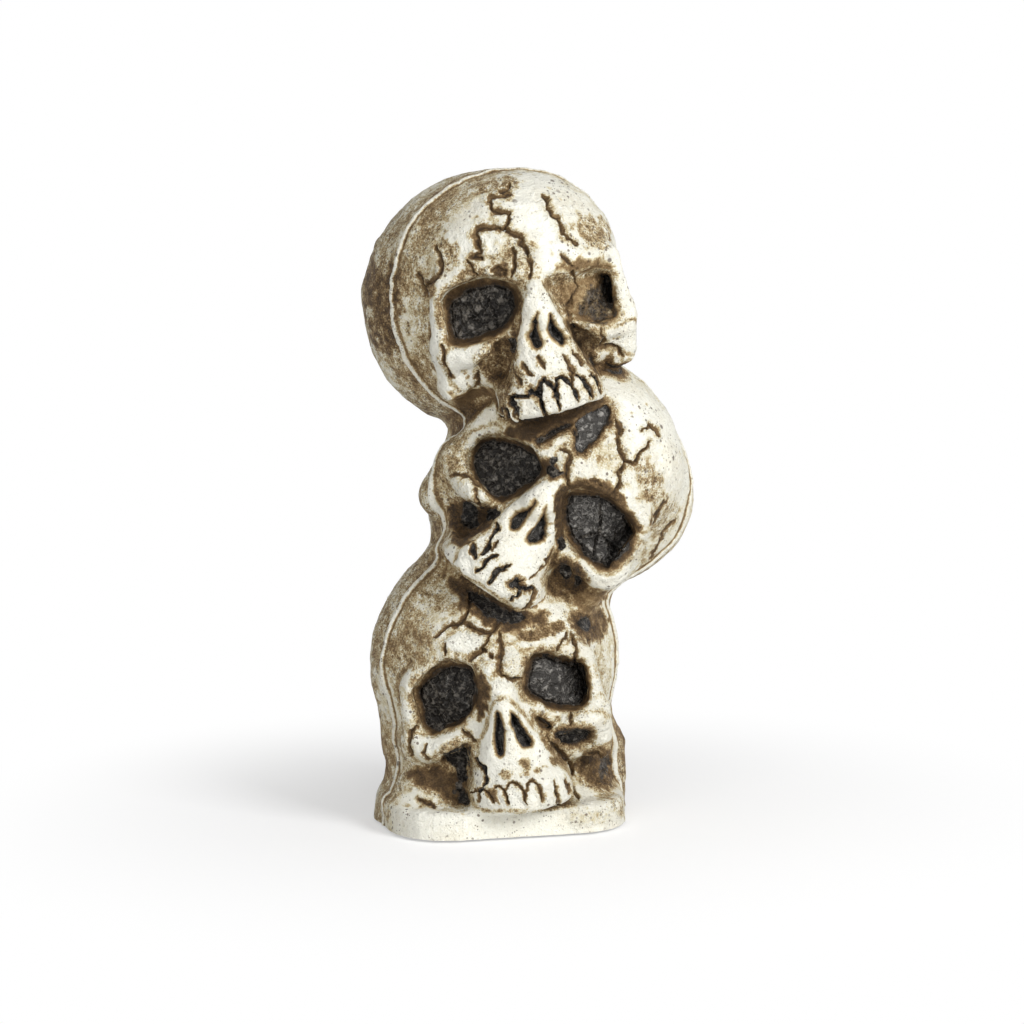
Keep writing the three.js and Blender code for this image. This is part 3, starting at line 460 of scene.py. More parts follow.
def bare_skull(points, skull):
    """One skull with neither sockets nor nostrils."""
    local = (points - np.array(skull["nasion"])) @ skull["axes"] / skull["scale"]
    local = local.astype(np.float32)
    height = local[:, 1]
    local[:, 0] = np.abs(local[:, 0])
    d = join(ellipsoid(local, *FOREHEAD), ellipsoid(local, *FACE_BLOCK), SOFT)
    d = carve(d, ellipsoid(local, *TEMPLE), SOFT)
    for form in (ORBIT_RIM, BROW, RAMUS, MAXILLA):
        d = join(d, limb(local, *form), SOFT)
    d = carve(d, ellipsoid(local, *CHEEK_HOLLOW), SOFT)
    d = join(d, limb(local, *CHEEKBONE), SOFT)
    across = local[:, 0] / DENTAL_ARCH["width"]
    out = (local[:, 2] - DENTAL_ARCH["back"]) / DENTAL_ARCH["depth"]
    arch = (np.hypot(across, out) - 1) * DENTAL_ARCH["depth"]
    d = join(d, common(arch, height - DENTAL_ARCH["top"], SOFT), SOFT)
    d = join(d, limb(local, *NOSE_BRIDGE), CRISP)
    return common(d, JAW_FLOOR - height, CRISP) * skull["scale"], local


def plinth(points):
    x, y, z = points.T

    def slab(front, corner):
        back = PLINTH["back"]
        qx = np.abs(x) - PLINTH["half_width"] + corner
        qy = np.abs(y - (back - front) / 2) - (back + front) / 2 + corner
        outside = np.hypot(np.maximum(qx, 0), np.maximum(qy, 0))
        return outside + np.minimum(np.maximum(qx, qy), 0) - corner

    foot = common(slab(PLINTH["front"], PLINTH["corner"]), z - PLINTH["height"], 4)
    skirt = slab(SKIRT["front"], SKIRT["corner"])
    skirt = skirt + SKIRT["slope"] * np.maximum(z - SKIRT["foot"], 0)
    skirt = common(skirt, z - SKIRT["top"], 6)
    across = (x - PEDESTAL["x"]) / PEDESTAL["half_width"]
    along = (y - PEDESTAL["y"]) / PEDESTAL["half_depth"]
    pedestal = (np.hypot(across, along) - 1) * PEDESTAL["half_depth"]
    pedestal = common(pedestal, z - PEDESTAL["height"], 14)
    return join(join(foot, skirt, 5), pedestal, STACK_BLEND)


def outline_distance(at, outline):
    """Pixels from an outline, negative inside it."""
    best = np.full(len(at), 1e9)
    inside = np.zeros(len(at), bool)
    for a, b in zip(outline, np.roll(outline, -1, 0)):
        edge = b - a
        along = np.clip((at - a) @ edge / (edge @ edge), 0, 1)
        best = np.minimum(best, np.hypot(*(at - a - along[:, None] * edge).T))
        crosses = (a[1] > at[:, 1]) != (b[1] > at[:, 1])
        inside ^= crosses & (at[:, 0] < a[0] + edge[0] * (at[:, 1] - a[1]) / (edge[1] or 1e-9))
    return np.where(inside, -best, best)


def near_outline(at, line, margin):
    """The points whose pixels lie in the box of a line, with a margin."""
    low, high = line.min(0) - margin, line.max(0) + margin
    return np.flatnonzero((at >= low).all(1) & (at <= high).all(1))


def cut_hollows(d, local, at, hollows):
    """Cuts each outline into a skull along the view, with a closed back behind the cheeks."""
    for hollow in hollows:
        some = near_outline(at, hollow["line"], 12)
        if len(some):
            base = d[some]
            inward = outline_distance(at[some], hollow["line"])
            side = inward * PIXEL - hollow["taper"] * base
            bulge = 0
            if hollow["kind"] == "socket":
                bulge = SOCKET_BULGE * np.clip(-inward / BULGE_REACH, 0, 1) ** 0.7
            cut = np.maximum(side, -base - hollow["depth"] * (1 - bulge))
            cut = np.maximum(cut, local[some, 0] - RIM_BREADTH)
            d[some] = carve(base, cut, hollow["soft"])
    return join(d, limb(local, *CHEEK_BACK), CRISP)


def stack(points):
    """The whole outside, with the hollows of the faces."""
    at = to_pixels(points)
    d = plinth(points)
    for skull in SKULLS:
        d = join(d, ellipsoid(points, *skull["dome"]), DOME_BLEND)
    for skull, hollows in zip(SKULLS, HOLLOWS):
        share = np.clip((points[:, 1] - BLEND_FROM) / BLEND_OVER, 0, 1)
        softness = STACK_BLEND + (DOME_BLEND - STACK_BLEND) * share
        d = join(d, cut_hollows(*bare_skull(points, skull), at, hollows), softness)
    return d


def skin(distance, low, high, cell, leap=4):
    """Points and quads of a closed surface, from cells of one size near it."""
    counts = [math.ceil((b - a) / (cell * leap)) * leap for a, b in zip(low, high)]
    rough = np.stack(np.meshgrid(*[np.arange(0, n, leap) for n in counts], indexing="ij"), -1)
    field = distance(rough.reshape(-1, 3) * cell + low).reshape(rough.shape[:3])
    for axis in range(3):
        field = field.repeat(leap, axis)
    near = np.argwhere(np.abs(field) < cell * leap * 2)
    field[tuple(near.T)] = distance(near * cell + low)
    grid = openvdb.FloatGrid(background=float(cell * 3))
    grid.copyFromArray(field.astype(np.float32))
    points, quads = grid.convertToQuads(isovalue=0)
    return points * cell + low, quads


def new_piece(name, points, faces):
    mesh = bpy.data.meshes.new(name)
    mesh.from_pydata(((points + MIDDLE) * MM).tolist(), [], np.asarray(faces).tolist())
    piece = bpy.data.objects.new(name, mesh)
    bpy.context.scene.collection.objects.link(piece)
    return piece


def read(items, key, width=1, kind=np.int32):
    values = np.empty(len(items) * width, kind)
    items.foreach_get(key, values)
    return values.reshape(-1, width) if width > 1 else values


def corners(piece):
    return read(piece.data.vertices, "co", 3, np.float32).astype(float) / MM - MIDDLE


def outward(piece):
    return read(piece.data.vertices, "normal", 3, np.float32).astype(float)


def set_corners(piece, points):
    piece.data.vertices.foreach_set("co", ((points + MIDDLE) * MM).astype(np.float32).ravel())
    piece.data.update()


def settle(piece, distance, passes=2, reach=2.0):
    """Moves the corners onto the surface."""
    for _ in range(passes):
        points = corners(piece)
        move = np.clip(distance(points), -reach, reach)
        set_corners(piece, points - move[:, None] * outward(piece))


def line_distance(at, line):
    """Pixels from an open line, and how far along it from 0 to 1."""
    best = np.full(len(at), 1e9)
    where = np.zeros(len(at))
    lengths = np.hypot(*np.diff(line, axis=0).T)
    done = np.concatenate([[0], np.cumsum(lengths)])
    for a, b, start, length in zip(line[:-1], line[1:], done, lengths):
        along = np.clip((at - a) @ (b - a) / length ** 2, 0, 1)
        gap = np.hypot(*(at - a - along[:, None] * (b - a)).T)
        where = np.where(gap < best, (start + along * length) / done[-1], where)
        best = np.minimum(best, gap)
    return best, where


def ease(low, high, value):
    t = np.clip((value - low) / (high - low), 0, 1)
    return t * t * (3 - 2 * t)


def cloud(points):
    """Soft noise between -1 and 1, from one value at each corner of a unit grid."""
    cell = np.floor(points).astype(np.int64)
    share = points - cell
    share = share * share * share * (share * (share * 6 - 15) + 10)
    total = np.zeros(len(points))
    for corner in np.ndindex(2, 2, 2):
        mixed = (cell + corner) @ np.array([374761393, 668265263, 1103515245]) & 0xFFFFFFFF
        mixed = (mixed ^ mixed >> 13) * 1274126177 & 0xFFFFFFFF
        value = ((mixed ^ mixed >> 16) & 0xFFFF) / 32767.5 - 1
        total += value * np.prod(np.where(corner, share, 1 - share), 1)
    return total


def lumps(points, size, octaves=2):
    """Soft noise between about -1 and 1 with lumps of one size in millimetres."""
    return 1.2 * sum(cloud(points / size * 2 ** k + 19 * k) / 2 ** k for k in range(octaves))


def wrinkles(points, size):
    """Crackled ridges between 0 and 1."""
    folds = [(1 - np.abs(cloud(points / size * 2 ** k + 31 * k))) ** 3 for k in range(3)]
    return 0.5 * folds[0] + 0.3 * folds[1] + 0.2 * folds[2]


def owner(points):
    """The skull that each point lies on, lowest first, or -1 on the plinth."""
    d = [plinth(points) + 1]
    d += [bare_skull(points, skull)[0] for skull in SKULLS]
    return np.argmin(np.stack(d), 0) - 1


def detailed(points, strokes_only):
    """Where the mesh is finer: strokes and the parting line, or also hollows and plates."""
    at = to_pixels(points)
    facing = points[:, 1] < FINE_END
    band, reach = (1.4, 0.5) if strokes_only else (3.5, 3)
    fine = np.abs(points[:, 1] + 1) < band
    for hollows, strokes, plates in zip(HOLLOWS, STROKES, PLATES):
        for width, _, line in strokes:
            some = near_outline(at, line, width + 3)
            fine[some] |= facing[some] & (line_distance(at[some], line)[0] < width + reach)
        if strokes_only:
            continue
        for hollow in hollows:
            some = near_outline(at, hollow["line"], 5)
            fine[some] |= facing[some] & (outline_distance(at[some], hollow["line"]) < 4)
        for _, soft, line in plates:
            some = near_outline(at, line, soft + 2)
            fine[some] |= facing[some] & (np.abs(outline_distance(at[some], line)) < soft + 1)
    return fine


def select(*pieces):
    """Selects some pieces and nothing else, the last of them active."""
    bpy.ops.object.select_all(action="DESELECT")
    for piece in pieces:
        piece.select_set(True)
    bpy.context.view_layer.objects.active = pieces[-1]


def edit(piece, action="SELECT"):
    select(piece)
    bpy.ops.object.mode_set(mode="EDIT")
    bpy.ops.mesh.select_mode(type="FACE")
    bpy.ops.mesh.select_all(action=action)


def refine(piece, chosen):
    """Splits the faces that have a chosen corner."""
    mesh = piece.data
    loops, starts = read(mesh.loops, "vertex_index"), read(mesh.polygons, "loop_start")
    chosen_faces = np.logical_or.reduceat(chosen[loops], starts)
    edit(piece, "DESELECT")
    bpy.ops.object.mode_set(mode="OBJECT")
    mesh.polygons.foreach_set("select", chosen_faces)
    bpy.ops.object.mode_set(mode="EDIT")
    bpy.ops.mesh.subdivide(number_cuts=1, ngon=False, quadcorner="INNERVERT")
    bpy.ops.object.mode_set(mode="OBJECT")


def hollowness(piece, rounds):
    """How far each corner lies below its neighbours, in millimetres, evened out a few times."""
    a, b = read(piece.data.edges, "vertices", 2).T
    points, out = corners(piece), outward(piece)
    count = np.bincount(np.concatenate([a, b]), minlength=len(points))

    def around(values):
        total = np.bincount(a, values[b], len(points)) + np.bincount(b, values[a], len(points))
        return total / count

    smooth = points.copy()
    for _ in range(rounds):
        smooth = np.stack([around(smooth[:, k]) for k in range(3)], 1)
    return ((smooth - points) * out).sum(1)


# Relief in millimetres, and the paint that goes with it
LUMP_HEIGHT, GRAIN_HEIGHT, BEAD_HEIGHT = 0.6, 0.34, 1.2
# Size and height of the crinkles of each kind of hollow, and the pixels from none to full height
CRINKLES = dict(socket=(7, 2.8, -3, -10), pit=(4, 1.4, 1, -4), hollow=(5, 2.4, 1, -4))
TOOTH_GAP = 2  # strokes deeper than this part two teeth
GRAZING = 0.05  # a surface turned further from the camera takes no drawn lines
EVERYWHERE = slice(None)


class Coat:
    """Lift and paint of the corners of one piece."""

    def __init__(self, piece):
        self.points, self.out = corners(piece), outward(piece)
        self.at = to_pixels(self.points)
        self.fine = lumps(self.points, 5, 3)
        self.lift = LUMP_HEIGHT * lumps(self.points, 18) + GRAIN_HEIGHT * self.fine
        self.cover = {name: np.zeros(len(self.points)) for name in ("wash_and_shade", "grit", "soot", "bare_and_sheen")}

    def lay(self, kind, some, amount, grit=0.0):
        """Lays paint where it is stronger than what is there."""
        laid = self.cover[kind][some]
        if kind == "wash_and_shade":
            self.cover["grit"][some] = np.where(amount > laid, grit, self.cover["grit"][some])
        self.cover[kind][some] = np.maximum(laid, amount)

    def beside(self, on, line, margin):
        return on[near_outline(self.at[on], line, margin)]

    def raise_plate(self, on, height, soft, line):
        some = self.beside(on, line, soft + 4)
        side = outline_distance(self.at[some], line) + 1.5 * self.fine[some]
        self.lift[some] += height * ease(soft, -soft * 1.5, side)
        self.lay("bare_and_sheen", some, 0.4 * ease(0, -6, side))
        self.lay("wash_and_shade", some, 0.3 * ease(7, 2, side) * ease(-1, 2, side), 0.7)

    def age_hollow(self, on, hollow):
        kind, line, paint = hollow["kind"], hollow["line"], hollow["paint"]
        some = self.beside(on, line, 20)
        side = outline_distance(self.at[some], line)
        side += (0.4 if kind == "nostril" else 1.2) * self.fine[some]
        inside = side < 1
        if kind == "socket":
            rim = paint.get("rim", 1)
            side += 1.6 * lumps(self.points[some], 14)
            # The soot reaches further out at the lower right of a socket, leaving a broader brown
            # rim at the upper left: painted shade on the part of the wall turned from the light
            toward = np.clip((self.at[some] - line.mean(0)) @ (0.04, 0.04), -1, 1)
            tilt = side - 5 * rim * toward
            self.lay("soot", some, paint.get("soot", 1) * ease(-1 - 4 * rim, -4 - 11 * rim, tilt))
            self.lay("wash_and_shade", some, paint.get("umber", 0.9) * ease(3, -2 - 6 * rim, tilt), 0.25)
            self.lay("wash_and_shade", some, 0.36 * ease(10, 0, side) ** 1.5, 0.9)
            # A grey sheen painted on the crust deep in the socket
            self.lay("bare_and_sheen", some, paint.get("grey", 0.08) * ease(-6, -12, side))
        elif kind == "nostril":
            self.lay("soot", some, ease(0.5, -1.5, side))
            self.lay("wash_and_shade", some, 0.7 * ease(2, -0.5, side), 0.2)
        elif kind == "pit":
            edge = paint.get("edge", 4)
            halo = 0.55 * ease(3 * edge, 1, side) ** 1.5
            self.lay("soot", some, ease(1, -edge, side))
            self.lay("wash_and_shade", some, np.maximum(0.9 * ease(edge, -1, side), halo), 0.8)
            # A grey sheen painted on the crust of the pit
            self.lay("bare_and_sheen", some, paint.get("grey", 0) * ease(0, -4, side))
        elif kind == "hollow":
            self.lay("wash_and_shade", some, 0.42 * ease(12, 0, side) ** 1.5, 0.9)
        if kind in CRINKLES:
            size, height, none, full = CRINKLES[kind]
            deep = some[inside]
            folds = (wrinkles(self.points[deep], size) - 0.5) * height
            self.lift[deep] += folds * ease(none, full, side[inside])

    def press_stroke(self, on, width, depth, line):
        some = self.beside(on, line, width + 12)
        if len(some) == 0:
            return
        points = self.points[some]
        shaken = np.stack([lumps(points, 3), lumps(points + 40, 3)], 1)
        gap, along = line_distance(self.at[some] + 1.2 * shaken, line)
        swell = 0.4 * np.sin(np.pi * along) ** 0.5
        wide = width * (0.75 + swell + 0.35 * lumps(points, 4, 1))
        gap = gap / np.maximum(wide, 0.6)
        self.lift[some] -= depth * (0.6 + 0.4 * wide / width) * ease(1.4, 0, gap)
        self.lift[some] += 0.2 * depth * ease(3.2, 1.7, gap) * ease(1.0, 1.7, gap)
        soot, wash_and_shade = (0.95, 0.8) if depth > TOOTH_GAP else (0.3, 0.62)
        self.lay("soot", some, soot * ease(1.0, 0.5, gap))
        self.lay("wash_and_shade", some, wash_and_shade * ease(1.25, 0.95, gap), 0.2)
        self.lay("wash_and_shade", some, 0.88 * ease(0.75, 0.2, gap), 0.2)
        self.lay("wash_and_shade", some, 0.22 * ease(4, 1, gap), 0.9)
        self.cover["bare_and_sheen"][some] *= 1 - ease(1.6, 0.6, gap)

    def lay_stain(self, on, kind, strength, feather, *rest):
        *grit, outline = rest
        line = rounded(outline)
        some = self.beside(on, line, feather * 2)
        ragged = feather * 0.7 * lumps(self.points[some], 4)
        side = outline_distance(self.at[some], line) + ragged
        self.lay(kind, some, strength * ease(feather, -feather * 0.5, side), *grit)


def sculpt(piece):
    """Shapes the faces and the parting line of a piece and keeps the paint that follows them."""
    coat = Coat(piece)
    points, out, cover = coat.points, coat.out, coat.cover
    x, y, z = points.T
    towards = out @ BACK > GRAZING
    seen = towards & (y < FACE_END)
    mine = owner(points)
    # Wash and soot by how closed in each corner is, less on the plinth: the antique wash of the
    # hollows together with painted shade in recesses, under overhangs and where one skull meets the
    # next
    shade = np.mean([np.clip(1 - stack(points + out * h) / h, 0, 1) for h in (3, 8, 18)], 0)
    shade *= 0.45 + 0.55 * ease(12, 26, z)
    coat.lay("wash_and_shade", EVERYWHERE, 0.75 * ease(0.15, 0.75, shade), 0.7)
    coat.lay("soot", EVERYWHERE, 0.8 * ease(0.6, 0.9, shade))
    for k in range(len(SKULLS)):
        of_skull = (mine == k) | (mine < 0) & (k == 0)
        face, shown = np.flatnonzero(seen & of_skull), np.flatnonzero(towards & of_skull)
        for plate in PLATES[k]:
            coat.raise_plate(np.flatnonzero(seen & (mine == k)), *plate)
        for hollow in HOLLOWS[k]:
            coat.age_hollow(face, hollow)
        for stroke in STROKES[k]:
            coat.press_stroke(face, *stroke)
        for kind, stains in (("wash_and_shade", WASHES[k]), ("soot", SOOTS[k])):
            for stain in stains:
                coat.lay_stain(shown, kind, *stain)
    bead = ease(1.6, 0.7, np.abs(y))
    coat.lift += 0.45 * cover["wash_and_shade"] * cover["grit"] * lumps(points, 2.5, 2)
    coat.lift += BEAD_HEIGHT * bead
    # A clouded wash over the rear half: its tan tint together with painted shade on the half turned
    # from the lamps
    rear_tint_and_shade = np.clip(0.235 + 0.15 * lumps(points, 40, 3), 0.1, 0.5)
    coat.lay("wash_and_shade", EVERYWHERE, ease(0, 4, y) * rear_tint_and_shade, 1.0)
    coat.lay("wash_and_shade", EVERYWHERE, 0.55 * ease(1.6, 0.4, np.abs(y + 2.4)), 0.4)
    # Wash near the parting, stronger towards the left: a tan tint of the sides together with
    # painted shade on the side turned from the key lamp
    side_tint_and_shade = 0.14 + 0.25 * ease(30, -30, x)
    side_tint_and_shade *= ease(40, 3, np.abs(y)) * ease(-1.3, 0.5, lumps(points, 20))
    coat.lay("wash_and_shade", EVERYWHERE, side_tint_and_shade, 0.8)
    for name in ("wash_and_shade", "soot"):
        cover[name] *= 1 - 0.9 * bead
    coat.lay("bare_and_sheen", EVERYWHERE, bead)
    set_corners(piece, points + out * coat.lift[:, None])
    dip = hollowness(piece, 2)
    coat.lay("wash_and_shade", EVERYWHERE, 0.55 * ease(0.12, 0.45, dip) * ease(13, 20, z), 0.6)
    coat.lay("bare_and_sheen", EVERYWHERE, 0.5 * ease(0.1, 0.4, -dip))
    for name, amount in cover.items():
        values = piece.data.attributes.new(name, "FLOAT", "POINT").data
        values.foreach_set("value", amount.astype(np.float32))


def face_out(piece, inward=False):
    edit(piece)
    bpy.ops.mesh.normals_make_consistent(inside=inward)
    bpy.ops.object.mode_set(mode="OBJECT")


def cut_flat(place, normal, **side):
    """Cuts away one side of a plane and closes the cut."""
    bpy.ops.mesh.select_all(action="SELECT")
    bpy.ops.mesh.bisect(plane_co=place, plane_no=normal, use_fill=True, **side)


def half(name, low, high, cell, plane, keep_front):
    """One half of the moulding, sculpted outside and plain inside, cut at the joint and the rim."""
    def inside(points):
        return stack(points) + WALL

    piece = new_piece(name, *skin(stack, low, high, cell))
    face_out(piece)
    settle(piece, stack)
    for strokes_only in (False, True) if keep_front else (False,):
        refine(piece, detailed(corners(piece), strokes_only))
        settle(piece, stack, 1)
    sculpt(piece)
    lining = new_piece(name + "_lining", *skin(inside, low, high, LINING_CELL, 2))
    face_out(lining)
    settle(lining, inside)
    face_out(lining, True)
    select(lining, piece)
    bpy.ops.object.join()
    edit(piece)
    cut_flat((0, 0, RIM_HEIGHT * MM), (0, 0, 1), clear_inner=True)
    cut_flat((0, (plane + MIDDLE[1]) * MM, 0), (0, 1, 0), clear_outer=keep_front,
             clear_inner=not keep_front)
    bpy.ops.mesh.select_all(action="SELECT")
    bpy.ops.mesh.remove_doubles(threshold=MERGE * MM)
    bpy.ops.mesh.quads_convert_to_tris()
    bpy.ops.object.mode_set(mode="OBJECT")
    piece.data.polygons.foreach_set("use_smooth", [True] * len(piece.data.polygons))
    bpy.ops.object.shade_smooth_by_angle(angle=CREASE)
    return piece


front = half("front_moulding", low=(-110, -100, -6), high=(140, 6, 392), cell=FRONT_CELL,
             plane=-PARTING, keep_front=True)
rear = half("rear_moulding", low=(-110, -6, -6), high=(140, 110, 392), cell=REAR_CELL,
            plane=PARTING, keep_front=False)
for piece, node in ((front, "front_shell"), (rear, "rear_shell")):
    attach(piece, "stack")
    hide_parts(node)

# Finishes


class Nodes:
    """A node tree whose nodes are added one after another."""

    def __init__(self, tree):
        self.tree = tree

    def add(self, kind, inputs=(), **settings):
        node = self.tree.nodes.new(kind)
        for key, value in settings.items():
            setattr(node, key, value)
        for key, value in dict(inputs).items():
            if isinstance(value, bpy.types.NodeSocket):
                self.tree.links.new(value, node.inputs[key])
            else:
                node.inputs[key].default_value = value
        return node

    def math(self, operation, *values):
        return self.add("ShaderNodeMath", dict(enumerate(values)), operation=operation).outputs[0]

    def plus(self, a, b):
        return self.math("ADD", a, b)

    def times(self, a, b):
        return self.math("MULTIPLY", a, b)

    def most(self, a, b):
        return self.math("MAXIMUM", a, b)

    def line(self, value, slope, start):
        return self.math("MULTIPLY_ADD", value, slope, start)

    def background(self):
        """1 for the rays that show what lies behind: straight, mirrored or through glass."""
        ray = self.add("ShaderNodeLightPath").outputs
        return self.most(ray["Is Camera Ray"],
                         self.most(ray["Is Glossy Ray"], ray["Is Transmission Ray"]))


class Finish(Nodes):
    """A material on a Principled shader."""

    def __init__(self, name):
        self.material = bpy.data.materials.new(name)
        self.material.use_nodes = True
        super().__init__(self.material.node_tree)
        self.shader = self.tree.nodes["Principled BSDF"]
        self.place = self.add("ShaderNodeTexCoord").outputs["Object"]

    def noise(self, scale, detail=4.0, rough=0.55):
        inputs = {"Vector": self.place, "Scale": scale, "Detail": detail, "Roughness": rough}
        return self.add("ShaderNodeTexNoise", inputs).outputs["Fac"]

    def ramp(self, value, low, high):
        inputs = {"Value": value, "From Min": low, "From Max": high}
        node = self.add("ShaderNodeMapRange", inputs, interpolation_type="SMOOTHSTEP")
        return node.outputs["Result"]

    def mix(self, share, a, b):
        return self.add("ShaderNodeMix", {0: share, 6: a, 7: b}, data_type="RGBA").outputs[2]

    def tones(self, value, stops):
        node = self.add("ShaderNodeValToRGB", {"Fac": value})
        ramp = node.color_ramp
        while len(ramp.elements) < len(stops):
            ramp.elements.new(0.5)
        for element, (place, colour) in zip(ramp.elements, stops):
            element.position = place
            element.color = (*colour, 1)
        return node.outputs["Color"]

    def attribute(self, name):
        return self.add("ShaderNodeAttribute", attribute_name=name).outputs["Fac"]

    def dots(self, scale, size, share):
        """Round dots in some of the cells of a scatter."""
        cells = self.add("ShaderNodeTexVoronoi", {"Vector": self.place, "Scale": scale}).outputs
        red = self.add("ShaderNodeSeparateColor", {"Color": cells["Color"]}).outputs[0]
        chosen = self.ramp(red, share, share - 0.04)
        return self.times(chosen, self.ramp(cells["Distance"], size, size * 0.6))

    def finish(self, colour, roughness, bump, strength, distance):
        bumped = {"Height": bump, "Strength": strength, "Distance": distance}
        normal = self.add("ShaderNodeBump", bumped).outputs["Normal"]
        for key, value in (("Base Color", colour), ("Roughness", roughness), ("Normal", normal)):
            self.tree.links.new(value, self.shader.inputs[key])
        return self.material


def bone_paint():
    f = Finish("antiqued_bone")
    broad, clumps, fine = f.noise(40), f.noise(190, 6, 0.68), f.noise(1000, 3, 0.6)
    relief = f.plus(f.times(f.noise(420, 5, 0.6), 0.6), f.times(fine, 0.4))
    cream = f.mix(f.ramp(broad, 0.35, 0.68), (0.80, 0.785, 0.695, 1), (0.74, 0.705, 0.59, 1))
    # Lighter cream on the peaks of the fine relief: a painted highlight
    cream = f.mix(f.ramp(relief, 0.50, 0.62), cream, (0.84, 0.83, 0.75, 1))
    # Wash and painted shade, from cream to dark brown, broken up where it is gritty
    wash_and_shade, grit, bare_and_sheen = f.attribute("wash_and_shade"), f.attribute("grit"), f.attribute("bare_and_sheen")
    grain = f.math("SUBTRACT", f.plus(f.times(clumps, 0.55), f.times(fine, 0.45)), 0.5)
    jitter = f.times(grain, f.line(grit, 2.6, 0.5))
    level = f.plus(f.line(bare_and_sheen, -0.25, wash_and_shade), f.times(jitter, f.ramp(wash_and_shade, 0.0, 0.25)))
    tone = f.tones(level, [
        (0.0, (0.78, 0.74, 0.61)), (0.14, (0.65, 0.585, 0.40)), (0.30, (0.42, 0.32, 0.17)),
        (0.46, (0.237, 0.153, 0.070)), (0.64, (0.115, 0.069, 0.028)),
        (0.82, (0.056, 0.032, 0.012)), (1.0, (0.024, 0.015, 0.008))])
    colour = f.mix(f.ramp(level, 0.02, 0.16), cream, tone)
    # Pores and spatter
    pores = f.times(f.ramp(relief, 0.43, 0.36), f.line(f.ramp(broad, 0.42, 0.62), 0.4, 0.2))
    spatter = f.most(f.dots(330, 0.36, 0.20), f.dots(150, 0.28, 0.11))
    spatter = f.most(spatter, f.dots(700, 0.36, 0.24))
    spatter = f.times(spatter, f.ramp(f.noise(70), 0.42, 0.56))
    strewn = f.most(f.dots(420, 0.42, 0.45), f.dots(800, 0.42, 0.4))
    strewn = f.times(strewn, f.times(grit, f.ramp(wash_and_shade, 0.06, 0.3)))
    marks = f.most(pores, f.times(f.most(spatter, strewn), 0.8))
    colour = f.mix(marks, colour, (0.085, 0.052, 0.028, 1))
    # Crust of soot in the hollows, ridged and blistered, with painted glints, and a grey sheen
    # painted where it is bare
    laid = f.attribute("soot")
    soot, thick = f.ramp(f.plus(laid, grain), 0.28, 0.72), f.ramp(laid, 0.7, 0.95)
    folds = f.math("ABSOLUTE", f.math("SUBTRACT", f.noise(150, 2.5, 0.5), 0.5))
    ridges, blisters = f.ramp(folds, 0.04, 0.005), f.noise(300, 3, 0.6)
    painted_glints = f.most(f.times(ridges, 0.4), f.ramp(blisters, 0.50, 0.68))
    dark = f.mix(painted_glints, (0.010, 0.008, 0.006, 1), (0.135, 0.12, 0.10, 1))
    grey = f.mix(painted_glints, (0.065, 0.061, 0.056, 1), (0.35, 0.335, 0.31, 1))
    colour = f.mix(soot, colour, f.mix(f.times(bare_and_sheen, thick), dark, grey))
    crust = f.line(ridges, 0.3, f.times(blisters, 0.9))
    height = f.line(crust, thick, f.times(relief, f.line(grit, 0.5, 0.7)))
    f.shader.inputs["Specular IOR Level"].default_value = 0.25
    return f.finish(colour, f.line(soot, -0.36, 0.62), height, 1.0, 0.003)


def plain(name, light, dark, scale, roughness, strength=0.2, metallic=0.0):
    f = Finish(name)
    mottle = f.noise(scale, 5, 0.6)
    colour = f.mix(f.ramp(mottle, 0.3, 0.7), light, dark)
    f.shader.inputs["Metallic"].default_value = metallic
    rough, grain = f.line(mottle, 0.15, roughness), f.noise(scale * 6, 3)
    return f.finish(colour, rough, grain, strength, 0.0002)


def dress(material, *names):
    for name in names:
        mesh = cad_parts[name].data
        mesh.materials.clear()
        mesh.materials.append(material)


bone = bone_paint()
for piece in (front, rear):
    piece.data.materials.clear()
    piece.data.materials.append(bone)
CORNERS = ("front_left", "front_right", "rear_left", "rear_right")
dress(plain("grained_black_plastic", (0.035, 0.033, 0.030, 1), (0.018, 0.017, 0.016, 1), 900, 0.5),
      "base_plate")
dress(plain("gasket_foam", (0.022, 0.022, 0.022, 1), (0.012, 0.012, 0.012, 1), 1500, 0.8, 0.5),
      "base_gasket")
dress(plain("plug_plastic", (0.06, 0.055, 0.047, 1), (0.04, 0.037, 0.032, 1), 500, 0.4),
      "filler_plug")
dress(plain("dry_sand", (0.52, 0.38, 0.18, 1), (0.32, 0.21, 0.09, 1), 1600, 0.8, 0.8),
      "sand_ballast")
dress(plain("foot_rubber", (0.02, 0.02, 0.02, 1), (0.011, 0.011, 0.011, 1), 700, 0.75, 0.3),
      *["foot_" + corner for corner in CORNERS])
dress(plain("zinc_plate", (0.60, 0.60, 0.58, 1), (0.45, 0.46, 0.48, 1), 1200, 0.25, metallic=1.0),
      *["base_screw_" + corner for corner in CORNERS])

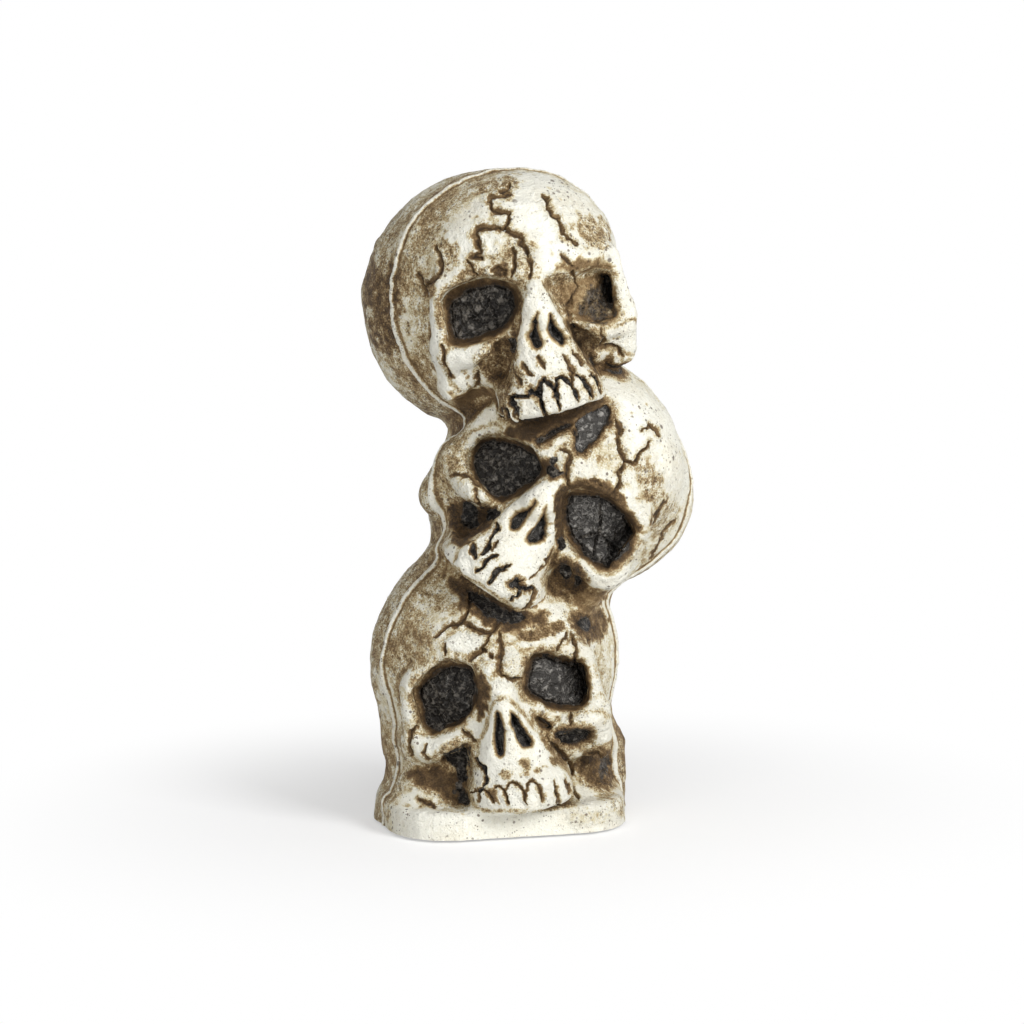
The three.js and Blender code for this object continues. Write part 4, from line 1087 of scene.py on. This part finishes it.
# Studio
FLOOR_DROP = 0.0003  # keeps the floor clear of the feet
WHITE = (1, 1, 1, 1)
AMBIENT = 0.30
LAMP_AIM = Vector((0, 0, 0.19))
bpy.ops.object.select_all(action="DESELECT")
bpy.ops.mesh.primitive_plane_add(size=8, location=(0, 0, -FLOOR_DROP))
floor = bpy.context.active_object
floor.name = "studio_floor"
f = Finish("white_sweep")
f.shader.inputs["Base Color"].default_value = (0.95, 0.95, 0.95, 1)
f.shader.inputs["Roughness"].default_value = 0.9
away = f.add("ShaderNodeVectorMath", {0: f.place}, operation="LENGTH").outputs["Value"]
share = f.times(f.background(), f.line(f.ramp(away, 0.08, 0.36), 0.6, 0.4))
glow = f.add("ShaderNodeEmission", {"Color": WHITE, "Strength": 1.0})
blend = f.add("ShaderNodeMixShader", {0: share, 1: f.shader.outputs[0], 2: glow.outputs[0]})
f.tree.links.new(blend.outputs[0], f.tree.nodes["Material Output"].inputs["Surface"])
floor.data.materials.append(f.material)


def lamp(name, place, size, power):
    light = bpy.data.objects.new(name, bpy.data.lights.new(name, "AREA"))
    light.data.size = size
    light.data.energy = power
    light.location = place
    light.rotation_euler = (LAMP_AIM - Vector(place)).to_track_quat("-Z", "Y").to_euler()
    bpy.context.scene.collection.objects.link(light)


lamp("key", (0.85, -1.5, 1.15), 0.8, 35)
lamp("fill", (-0.8, -1.4, 0.8), 1.4, 12)
world = bpy.data.worlds.new("studio_air")
bpy.context.scene.world = world
world.use_nodes = True
air = Nodes(world.node_tree)
level = air.add("ShaderNodeMix", {0: air.background(), 2: AMBIENT, 3: 1.0})
sky = air.tree.nodes["Background"].inputs
air.tree.links.new(level.outputs[0], sky["Strength"])
sky["Color"].default_value = WHITE

camera = bpy.data.objects.new("photo_camera", bpy.data.cameras.new("photo_camera"))
bpy.context.scene.collection.objects.link(camera)
camera.data.sensor_width = SENSOR
camera.data.lens = FOCAL * SENSOR / FRAME_SIZE
camera.location = (EYE + MIDDLE) * MM
camera.rotation_euler = Vector(-BACK).to_track_quat("-Z", "Y").to_euler()
bpy.context.scene.camera = camera
bpy.context.scene.view_settings.view_transform = "Standard"
